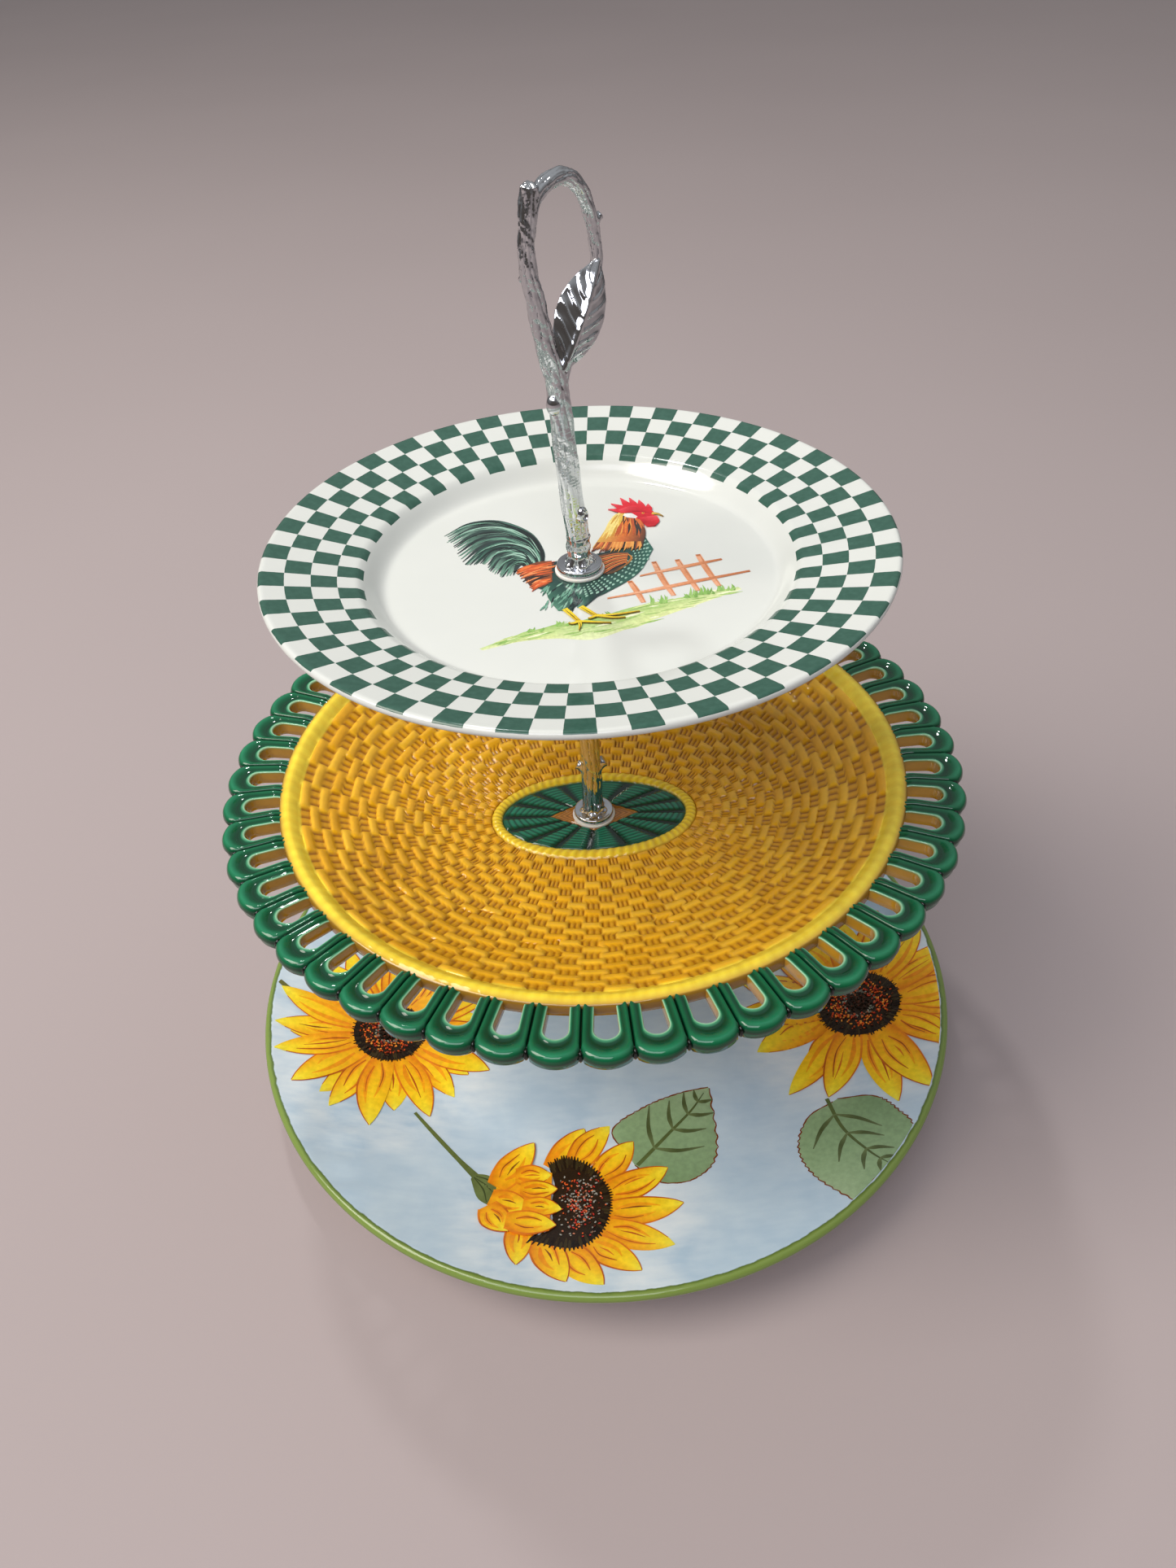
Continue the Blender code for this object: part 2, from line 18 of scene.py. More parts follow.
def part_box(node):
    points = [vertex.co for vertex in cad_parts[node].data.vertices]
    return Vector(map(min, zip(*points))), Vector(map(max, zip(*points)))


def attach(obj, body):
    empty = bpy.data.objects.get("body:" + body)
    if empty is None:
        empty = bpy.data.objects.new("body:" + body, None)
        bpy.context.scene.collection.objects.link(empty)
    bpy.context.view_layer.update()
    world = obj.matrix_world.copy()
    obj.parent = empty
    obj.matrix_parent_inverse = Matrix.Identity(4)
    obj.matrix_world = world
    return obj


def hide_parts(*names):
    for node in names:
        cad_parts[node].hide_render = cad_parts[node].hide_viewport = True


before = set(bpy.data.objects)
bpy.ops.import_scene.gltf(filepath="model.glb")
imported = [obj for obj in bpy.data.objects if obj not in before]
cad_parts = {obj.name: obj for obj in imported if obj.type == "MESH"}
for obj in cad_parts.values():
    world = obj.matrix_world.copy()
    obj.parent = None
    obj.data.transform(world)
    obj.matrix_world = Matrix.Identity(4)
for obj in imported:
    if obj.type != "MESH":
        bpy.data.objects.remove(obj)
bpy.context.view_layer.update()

LOG = logging.getLogger("cake_stand")
MM = 0.001
TURN = 2.0 * math.pi
Point = tuple[float, float]
Piece, Material = bpy.types.Object, bpy.types.Material
Tree, Socket = bpy.types.NodeTree, bpy.types.NodeSocket


class Body(Enum):
    """The moving groups of the stand."""

    BASE = "base"
    LOWER_COLUMN = "lower_column"
    MIDDLE_TIER = "middle_tier"
    UPPER_COLLAR = "upper_collar"
    UPPER_COLUMN = "upper_column"
    TOP_TIER = "top_tier"
    HANDLE_COLLAR = "handle_collar"
    HANDLE_GRIP = "handle_grip"


# ---------------- shared hand tools


def linear(code: str) -> tuple[float, float, float, float]:
    """Turn an sRGB hex colour into linear light.

    Args:
        code: Colour such as "#d9a02c".

    Returns:
        Red, green, blue and alpha.
    """
    shares = [int(code[i : i + 2], 16) / 255.0 for i in (1, 3, 5)]
    light = [s / 12.92 if s <= 0.04045 else ((s + 0.055) / 1.055) ** 2.4 for s in shares]
    return (light[0], light[1], light[2], 1.0)


def hues(*codes: str) -> np.ndarray:
    """Return the linear colours of several hex codes as rows."""
    return np.array([linear(code)[:3] for code in codes])


def ease(value: float | np.ndarray, low: float, high: float) -> float | np.ndarray:
    """Rise smoothly from 0 at low to 1 at high.

    Args:
        value: Where to read the curve.
        low: Value at which it starts to rise.
        high: Value at which it has risen.

    Returns:
        The share from 0 to 1.
    """
    share = np.clip((np.asarray(value, float) - low) / (high - low), 0.0, 1.0)
    return share * share * (3.0 - 2.0 * share)


def follow(keys: Sequence, stations: int) -> np.ndarray:
    """Lay a smooth line of even stations through key rows (Catmull-Rom).

    Args:
        keys: Two or more rows of numbers.
        stations: Number of rows wanted.

    Returns:
        The rows along the line.
    """
    rows = np.array(keys, float)
    rows = rows.reshape(len(rows), -1)
    padded = np.vstack([2 * rows[0] - rows[1], rows, 2 * rows[-1] - rows[-2]])
    place = np.linspace(0, len(rows) - 1, stations)
    span = np.minimum(place.astype(int), len(rows) - 2)
    t = (place - span)[:, None]
    a, b, c, d = (padded[span + k] for k in range(4))
    return 0.5 * (
        2 * b + (c - a) * t + (2 * a - 5 * b + 4 * c - d) * t**2 + (3 * b - a - 3 * c + d) * t**3
    )


def deselect() -> None:
    """Leave nothing selected, so that an operator acts on the new piece alone."""
    for piece in bpy.context.selected_objects:
        piece.select_set(False)


def take(*pieces: Piece) -> None:
    """Select the pieces, and make the first one active."""
    deselect()
    for piece in pieces:
        piece.select_set(True)
    bpy.context.view_layer.objects.active = pieces[0]


def name_piece(name: str) -> Piece:
    """Name the active piece and its mesh, and return it."""
    piece = bpy.context.active_object
    piece.name = name
    piece.data.name = name
    return piece


def spin_outline(name: str, outline: Sequence[Point], steps: int, closed: bool) -> Piece:
    """Turn an outline about the stand's axis, as on a wheel.

    Args:
        name: Name of the piece.
        outline: Radius and height of each point, in millimetres.
        steps: Number of steps in a full turn.
        closed: Whether the outline's last point joins its first.

    Returns:
        The turned piece.
    """
    deselect()
    first = Vector((outline[0][0], 0.0, outline[0][1])) * MM
    bpy.ops.mesh.primitive_plane_add(size=MM, location=first)
    piece = name_piece(name)
    bpy.ops.object.transform_apply(location=True)
    bpy.ops.object.mode_set(mode="EDIT")
    bpy.ops.mesh.select_all(action="SELECT")
    bpy.ops.mesh.merge(type="CENTER")
    loop = list(outline[1:]) + ([outline[0]] if closed else [])
    here = outline[0]
    for there in loop:
        step = ((there[0] - here[0]) * MM, 0.0, (there[1] - here[1]) * MM)
        bpy.ops.mesh.extrude_vertices_move(TRANSFORM_OT_translate={"value": step})
        here = there
    bpy.ops.mesh.select_all(action="SELECT")
    bpy.ops.mesh.spin(steps=steps, angle=TURN, center=(0, 0, 0), axis=(0, 0, 1))
    bpy.ops.object.mode_set(mode="OBJECT")
    return face_out(piece, 2e-6)


def mesh_piece(name: str, points: np.ndarray, faces: Sequence) -> Piece:
    """Make a piece from points in millimetres and faces.

    Args:
        name: Name of the piece.
        points: One row per point.
        faces: Point numbers of each face.

    Returns:
        The piece.
    """
    mesh = bpy.data.meshes.new(name)
    mesh.from_pydata((np.asarray(points) * MM).tolist(), [], [list(map(int, f)) for f in faces])
    mesh.update()
    piece = bpy.data.objects.new(name, mesh)
    bpy.context.scene.collection.objects.link(piece)
    return piece


def face_out(piece: Piece, merge: float = 1e-6) -> Piece:
    """Merge doubled points and turn every face of a closed piece outwards.

    Args:
        piece: The closed piece.
        merge: Points nearer than this many metres become one; 0 keeps them all.

    Returns:
        The piece.
    """
    take(piece)
    bpy.ops.object.mode_set(mode="EDIT")
    bpy.ops.mesh.select_all(action="SELECT")
    if merge:
        bpy.ops.mesh.remove_doubles(threshold=merge)
    bpy.ops.mesh.normals_make_consistent(inside=False)
    bpy.ops.object.mode_set(mode="OBJECT")
    return piece


def grid_faces(rows: int, columns: int, wrap_rows: bool, wrap_columns: bool) -> list:
    """List the four-sided faces of a grid of points.

    Args:
        rows: Number of rows.
        columns: Number of points in a row.
        wrap_rows: Whether the last row joins the first.
        wrap_columns: Whether a row's last point joins its first.

    Returns:
        The faces.
    """
    r = np.arange(rows if wrap_rows else rows - 1)[:, None]
    c = np.arange(columns if wrap_columns else columns - 1)[None, :]
    up, on = (r + 1) % rows, (c + 1) % columns
    corners = [r * columns + c, r * columns + on, up * columns + on, up * columns + c]
    return np.stack(corners, -1).reshape(-1, 4).tolist()


def tube_faces(stations: int, sides: int) -> list:
    """List the faces of a tube of rings, closed at both ends."""
    last = (stations - 1) * sides
    ends = [list(range(sides))[::-1], [last + k for k in range(sides)]]
    return grid_faces(stations, sides, False, True) + ends


def heading(angle: float) -> np.ndarray:
    """Return the step of length 1 that an angle points along."""
    return np.array([math.cos(angle), math.sin(angle)])


def between(first: Sequence, second: Sequence, share: float) -> np.ndarray:
    """Return the place a share of the way from the first point to the second."""
    return np.array(first) * (1 - share) + np.array(second) * share


def lay_colour(piece: Piece, colours: np.ndarray) -> None:
    """Store one painted colour per point, for the glaze to read."""
    layer = piece.data.color_attributes.new("paint", "FLOAT_COLOR", "POINT")
    rows = np.ones((len(piece.data.vertices), 4), np.float32)
    rows[:, :3] = colours
    layer.data.foreach_set("color", rows.ravel())


def read_points(piece: Piece) -> np.ndarray:
    """Return a piece's points in millimetres."""
    points = np.zeros(len(piece.data.vertices) * 3)
    piece.data.vertices.foreach_get("co", points)
    return points.reshape(-1, 3) / MM


def write_points(piece: Piece, points: np.ndarray) -> None:
    """Move a piece's points to new places in millimetres."""
    piece.data.vertices.foreach_set("co", (points * MM).ravel())
    piece.data.update()


def apply_modifier(piece: Piece, kind: str, **settings: object) -> None:
    """Add a modifier with its settings and apply it.

    Args:
        piece: Piece that takes it.
        kind: Type of modifier.
        **settings: Properties of the modifier.
    """
    take(piece)
    modifier = piece.modifiers.new(kind.title(), kind)
    for key, value in settings.items():
        setattr(modifier, key, value)
    bpy.ops.object.modifier_apply(modifier=modifier.name)


def join(name: str, *pieces: Piece) -> Piece:
    """Join several pieces into one."""
    take(*pieces)
    if len(pieces) > 1:
        bpy.ops.object.join()
    return name_piece(name)


def hand_over(
    piece: Piece,
    body: Body,
    finish: Material,
    stands_for: Sequence[str] = (),
    crease: float = 40.0,
) -> Piece:
    """Dress a finished piece and fix it to the part of the stand it moves with.

    Args:
        piece: The finished piece, in place.
        body: Moving group that carries it.
        finish: Its material.
        stands_for: Frame nodes that it takes the place of.
        crease: Faces that meet at less than this many degrees are shaded as one.

    Returns:
        The piece.
    """
    piece.data.materials.clear()
    piece.data.materials.append(finish)
    take(piece)
    bpy.ops.object.shade_smooth_by_angle(angle=math.radians(crease))
    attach(piece, body.value)
    if stands_for:
        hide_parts(*stands_for)
    LOG.info("%s: %d faces on %s", piece.name, len(piece.data.polygons), body.value)
    return piece


def add_node(tree: Tree, kind: str, inputs: dict, **settings: object) -> Sequence:
    """Add a shader node with its settings, and fill or link its inputs.

    Args:
        tree: Node tree of the material.
        kind: Node type, without the "ShaderNode" that starts it.
        inputs: Value or output socket for each input, by name or number.
        **settings: Properties of the node.

    Returns:
        The node's outputs.
    """
    node = tree.nodes.new(f"ShaderNode{kind}")
    for key, value in settings.items():
        setattr(node, key, value)
    for key, value in inputs.items():
        if isinstance(value, Socket):
            tree.links.new(value, node.inputs[key])
        else:
            node.inputs[key].default_value = value
    return node.outputs


def start_material(name: str) -> tuple[Material, Tree]:
    """Make an empty node material, and return it with its tree."""
    material = bpy.data.materials.new(name)
    material.use_nodes = True
    material.node_tree.nodes.clear()
    return material, material.node_tree


# ---------------- finishes


@dataclass(frozen=True, kw_only=True)
class Finish:
    """What every finish has: a name, and slow waves or fine grain in its skin."""

    name: str
    wave_mm: float  # size of a wave
    wave: float  # height of a wave, in millimetres
    wave_detail: float

    def coat(self, tree: Tree, place: Socket) -> dict:
        """Return what the shader takes in besides the waves.

        Args:
            tree: Node tree of the material.
            place: Object coordinates.
        """
        raise NotImplementedError

    def material(self) -> Material:
        """Build the material."""
        material, tree = start_material(self.name)
        place = add_node(tree, "TexCoord", {})["Object"]
        size = 1 / (self.wave_mm * MM)
        skin = {"Vector": place, "Scale": size, "Detail": self.wave_detail}
        waves = add_node(tree, "TexNoise", skin)["Fac"]
        bump = add_node(tree, "Bump", {"Height": waves, "Distance": self.wave * MM, "Strength": 1.0})[0]
        shader = add_node(tree, "BsdfPrincipled", {"Normal": bump, **self.coat(tree, place)})
        add_node(tree, "OutputMaterial", {"Surface": shader[0]})
        return material


def axis_distance(tree: Tree, place: Socket) -> tuple:
    """Return x, y and the distance from the stand's axis at each point of a pattern."""
    axes = add_node(tree, "SeparateXYZ", {0: place})
    flat = add_node(tree, "CombineXYZ", {0: axes[0], 1: axes[1]})[0]
    return axes[0], axes[1], add_node(tree, "VectorMath", {0: flat}, operation="LENGTH")["Value"]


def upward(tree: Tree) -> Socket:
    """Return how far the surface faces up, from -1 to 1."""
    normal = add_node(tree, "NewGeometry", {})["Normal"]
    return add_node(tree, "SeparateXYZ", {0: normal})[2]


@dataclass(frozen=True, kw_only=True)
class FiredGlaze(Finish):
    """Glass-smooth fired glaze over clay, coloured by what is painted under it."""

    mottle_mm: float  # size of the soft patches where the glaze ran thin or thick
    mottle: float  # how far a patch is darker
    roughness: float
    ior: float = 1.5
    wave_detail: float = 2.0

    def coat(self, tree: Tree, place: Socket) -> dict:
        """Return the piece's painted colour, mottled, and a gloss that goes with the mottling."""
        paint = add_node(tree, "Attribute", {}, attribute_name="paint")["Color"]
        size = 1 / (self.mottle_mm * MM)
        patches = add_node(tree, "TexNoise", {"Vector": place, "Scale": size, "Detail": 4.0})["Fac"]
        dark, light = 1.0 - self.mottle, 1.0 + 0.4 * self.mottle
        shade = add_node(tree, "MapRange", {"Value": patches, 1: 0.3, 2: 0.7, 3: dark, 4: light})[0]
        colour = add_node(tree, "VectorMath", {0: paint, "Scale": shade}, operation="SCALE")[0]
        thick, thin = self.roughness * 0.7, self.roughness * 1.5
        gloss = add_node(tree, "MapRange", {"Value": patches, 1: 0.3, 2: 0.7, 3: thick, 4: thin})[0]
        return {"Base Color": colour, "Roughness": gloss, "IOR": self.ior}


@dataclass(frozen=True, kw_only=True)
class CheckedPorcelain(Finish):
    """White glazed porcelain with a printed band of green checks near the rim."""

    name: str = "checked_porcelain"
    wave_mm: float = 14.0
    wave: float = 0.12
    wave_detail: float = 1.0
    white: str = "#d3d6d0"
    white_shade: str = "#ccd0ca"
    green: str = "#2f5547"
    green_thin: str = "#3f6658"
    pairs: float = 36.0
    rows: float = 4.0
    inner: float = 68.5
    outer: float = 99.7
    phase: float = -0.235  # turns the band, in checks

    def coat(self, tree: Tree, place: Socket) -> dict:
        """Return the print's colour and gloss, from the plate's own polar grid."""
        # A print edge wanders by about 0.05 mm, over some 4 mm.
        wander = add_node(tree, "TexNoise", {"Vector": place, "Scale": 1 / (4 * MM), "Detail": 3.0})["Color"]
        centred = add_node(tree, "VectorMath", {0: wander, 1: (0.5, 0.5, 0.5)}, operation="SUBTRACT")[0]
        small = add_node(tree, "VectorMath", {0: centred, "Scale": 0.2 * MM}, operation="SCALE")[0]
        moved = add_node(tree, "VectorMath", {0: place, 1: small}, operation="ADD")[0]
        x, y, radius = axis_distance(tree, moved)
        angle = add_node(tree, "Math", {0: y, 1: x}, operation="ARCTAN2")[0]
        turned = {0: angle, 1: self.pairs / math.pi, 2: self.phase}
        cells = add_node(tree, "Math", turned, operation="MULTIPLY_ADD")[0]
        inward = {"Value": radius, 1: self.outer * MM, 2: self.inner * MM, 3: 0.0, 4: self.rows}
        depth = add_node(tree, "MapRange", inward, clamp=False)[0]
        column, row = (add_node(tree, "Math", {0: value}, operation="FLOOR")[0] for value in (cells, depth))
        count = add_node(tree, "Math", {0: column, 1: row}, operation="ADD")[0]
        mask = add_node(tree, "Math", {0: count, 1: 2.0}, operation="FLOORED_MODULO")[0]
        # The print covers its four rows only, on the face that looks up.
        bounds = [(depth, 0.0, "GREATER_THAN"), (depth, self.rows, "LESS_THAN")]
        for value, limit, side in bounds + [(upward(tree), 0.35, "GREATER_THAN")]:
            within = add_node(tree, "Math", {0: value, 1: limit}, operation=side)[0]
            mask = add_node(tree, "Math", {0: mask, 1: within}, operation="MULTIPLY")[0]
        # The colour lies in 2 mm sponge marks, thinner here and there.
        sponge = add_node(tree, "TexNoise", {"Vector": place, "Scale": 1 / (2.2 * MM), "Detail": 5.0})["Fac"]
        thin = add_node(tree, "MapRange", {"Value": sponge, 1: 0.4, 2: 0.8, 3: 0.0, 4: 0.6})[0]
        cloud = add_node(tree, "TexNoise", {"Vector": place, "Scale": 1 / (35 * MM), "Detail": 3.0})["Fac"]
        greens = {0: thin, 6: linear(self.green), 7: linear(self.green_thin)}
        whites = {0: cloud, 6: linear(self.white), 7: linear(self.white_shade)}
        green, white = (add_node(tree, "Mix", two, data_type="RGBA")[2] for two in (greens, whites))
        colour = add_node(tree, "Mix", {0: mask, 6: white, 7: green}, data_type="RGBA")[2]
        gloss = add_node(tree, "MapRange", {"Value": mask, 3: 0.1, 4: 0.17})[0]
        return {"Base Color": colour, "Roughness": gloss, "IOR": 1.5}


@dataclass(frozen=True, kw_only=True)
class SkyEarthenware(Finish):
    """Cream earthenware washed with pale blue, and a brushed olive rim, under clear glaze."""

    name: str = "sky_earthenware"
    wave_mm: float = 9.0
    wave: float = 0.18
    wave_detail: float = 2.0
    deep: str = "#adc7d9"
    pale: str = "#c3d8e3"
    cloud: str = "#e4edee"
    rim: str = "#768d42"
    rim_dark: str = "#4d6530"
    cream: str = "#e9e4d2"
    rim_inner: float = 141.3
    # Middle and reach of the pale haloes behind the flowers.
    haloes: tuple = ((-93, -21, 50), (-14, -109, 40), (106, -20, 46), (62, 104, 46), (-74, 92, 46))

    def coat(self, tree: Tree, place: Socket) -> dict:
        """Return colour and gloss, from washes that follow the plate's face."""
        # Broad brush washes, about 30 mm across, with 3 mm bristle streaks.
        broad = {"Vector": place, "Scale": 1 / (30 * MM), "Detail": 5.0, "Distortion": 0.6}
        wash = add_node(tree, "TexNoise", broad)["Fac"]
        drawn = add_node(tree, "Mapping", {0: place, "Rotation": (0, 0, 0.5), "Scale": (1.0, 3.2, 1.0)})[0]
        streak = add_node(tree, "TexNoise", {"Vector": drawn, "Scale": 1 / (11 * MM), "Detail": 6.0})["Fac"]
        both = add_node(tree, "Math", {0: streak, 1: 0.45, 2: wash}, operation="MULTIPLY_ADD")[0]
        amount = add_node(tree, "MapRange", {"Value": both, 1: 0.52, 2: 0.95})[0]
        blues = {0: amount, 6: linear(self.deep), 7: linear(self.pale)}
        sky = add_node(tree, "Mix", blues, data_type="RGBA")[2]
        for x, y, reach in self.haloes:
            middle = (x * MM, y * MM, 0.02)
            away = add_node(tree, "VectorMath", {0: place, 1: middle}, operation="DISTANCE")["Value"]
            fade = {"Value": away, 1: (reach - 6) * MM, 2: (reach + 16) * MM, 3: 0.75, 4: 0.0}
            halo = add_node(tree, "MapRange", fade, interpolation_type="SMOOTHSTEP")[0]
            patchy = add_node(tree, "Math", {0: halo, 1: amount}, operation="MULTIPLY")[0]
            sky = add_node(tree, "Mix", {0: patchy, 6: sky, 7: linear(self.cloud)}, data_type="RGBA")[2]
        radius = axis_distance(tree, place)[2]
        ragged = add_node(tree, "TexNoise", {"Vector": place, "Scale": 1 / (5 * MM), "Detail": 5.0})["Fac"]
        edge = add_node(tree, "Math", {0: ragged, 1: 1.6 * MM, 2: radius}, operation="MULTIPLY_ADD")[0]
        inner = (self.rim_inner + 0.8) * MM
        band = add_node(tree, "MapRange", {"Value": edge, 1: inner - 0.2 * MM, 2: inner + 0.2 * MM})[0]
        tone = add_node(tree, "MapRange", {"Value": edge, 1: inner, 2: inner + 1.3 * MM})[0]
        olives = {0: tone, 6: linear(self.rim_dark), 7: linear(self.rim)}
        rim = add_node(tree, "Mix", olives, data_type="RGBA")[2]
        painted = add_node(tree, "Mix", {0: band, 6: sky, 7: rim}, data_type="RGBA")[2]
        under = add_node(tree, "MapRange", {"Value": upward(tree), 1: -0.35, 2: -0.15, 3: 1.0, 4: 0.0})[0]
        sides = {0: under, 6: painted, 7: linear(self.cream)}
        colour = add_node(tree, "Mix", sides, data_type="RGBA")[2]
        gloss = add_node(tree, "MapRange", {"Value": ragged, 1: 0.3, 2: 0.7, 3: 0.09, 4: 0.2})[0]
        return {"Base Color": colour, "Roughness": gloss, "IOR": 1.5}


@dataclass(frozen=True, kw_only=True)
class BareMetal(Finish):
    """Plated metal: bright chrome on a casting, or dull zinc on a pressed part."""

    hue: str
    worn_hue: str
    roughness: float
    wave_detail: float = 3.0

    def coat(self, tree: Tree, place: Socket) -> dict:
        """Return colour and gloss, with the faint haze left by plating."""
        haze = add_node(tree, "TexNoise", {"Vector": place, "Scale": 1 / (6 * MM), "Detail": 6.0})["Fac"]
        greys = {0: haze, 6: linear(self.hue), 7: linear(self.worn_hue)}
        colour = add_node(tree, "Mix", greys, data_type="RGBA")[2]
        dulled = {"Value": haze, 1: 0.35, 2: 0.75, 3: self.roughness, 4: self.roughness * 2.2}
        return {"Base Color": colour, "Metallic": 1.0, "Roughness": add_node(tree, "MapRange", dulled)[0]}


@dataclass(frozen=True, kw_only=True)
class NylonMoulding(Finish):
    """Natural white nylon, moulded: a little translucent, with a fine matt grain.

    Mould grain is nearer 0.05 mm, and is drawn at 0.3 mm so that it shows.
    """

    name: str = "moulded_nylon"
    wave_mm: float = 0.3
    wave: float = 0.02
    wave_detail: float = 3.0
    hue: str = "#e9e8e1"
    hollow_hue: str = "#d9d8cf"

    def coat(self, tree: Tree, place: Socket) -> dict:
        """Return the grained white and the light that goes into it."""
        fine = {"Vector": place, "Scale": 1 / (self.wave_mm * MM), "Detail": self.wave_detail}
        grain = add_node(tree, "TexNoise", fine)["Fac"]
        whites = {0: grain, 6: linear(self.hue), 7: linear(self.hollow_hue)}
        colour = add_node(tree, "Mix", whites, data_type="RGBA")[2]
        inside = {"Subsurface Weight": 0.15, "Subsurface Scale": 0.001}
        return {"Base Color": colour, "Roughness": 0.42, "IOR": 1.53, **inside}


# ---------------- plates turned on a wheel


@dataclass
class TurnedPlate:
    """Sizes of a plate made on a wheel, and its upper and under faces."""

    face: float
    radius: float
    well: float
    rise: float
    thickness: float
    rim_thickness: float
    foot: float
    foot_width: float
    foot_height: float
    shoulder: float = 0.0  # width of a smooth step at the well's edge
    step: float = 0.0  # height of that step
    power: float = 1.0
    hole: float = 4.0

    def height(self, radius: np.ndarray | float) -> np.ndarray:
        """Return the height of the upper face at a radius.

        Args:
            radius: Distance from the axis, in millimetres.

        Returns:
            Height over the floor, in millimetres.
        """
        radius = np.asarray(radius, float)
        start = self.well + self.shoulder
        beyond = np.clip((radius - start) / (self.radius - start), 0.0, 1.0)
        lift = (self.rise - self.step) * beyond**self.power
        if self.shoulder:
            lift = lift + self.step * ease(radius, self.well, start)
        return self.face + lift

    def wall(self, radius: np.ndarray | float) -> np.ndarray:
        """Return the thickness of the clay at a radius."""
        share = ease(radius, self.well, self.radius - self.rim_thickness / 2)
        return self.thickness + (self.rim_thickness - self.thickness) * share

    def outline(self) -> list[Point]:
        """Return the plate's cross-section, from the hole's upper edge round to its lower edge."""
        lip = self.rim_thickness / 2
        edge = self.radius - lip
        radii = [self.hole + 0.4, 9.0, 20.0, 0.5 * self.well, self.well - 3.0]
        radii += list(np.linspace(self.well - 1.0, edge, 44))
        upper = [(r, float(self.height(r))) for r in radii]
        middle = float(self.height(edge)) - lip
        turn = [math.radians(90 - 180 * k / 10) for k in range(1, 10)]
        rim = [(edge + lip * math.cos(a), middle + lip * math.sin(a)) for a in turn]
        foot_outer, foot_inner = self.foot, self.foot - self.foot_width
        base = self.face - self.thickness - self.foot_height
        back = list(np.linspace(edge, foot_outer + 1.2, 22))
        lower = [(r, float(self.height(r) - self.wall(r))) for r in back]
        near = float(self.height(foot_outer) - self.wall(foot_outer))
        flat = self.face - self.thickness
        ring = [
            (foot_outer + 0.3, near - 0.5),
            (foot_outer, near - 1.2),
            (foot_outer - 0.2, base + 0.8),
            (foot_outer - 0.8, base),
            (foot_inner + 0.8, base),
            (foot_inner + 0.2, base + 0.8),
            (foot_inner, flat - 1.0),
            (foot_inner - 0.5, flat - 0.2),
            (foot_inner - 1.4, flat),
        ]
        hole = [(self.hole + 0.4, flat), (self.hole, flat + 0.4), (self.hole, self.face - 0.4)]
        return upper + rim + lower + ring + [(20.0, flat), (9.0, flat)] + hole


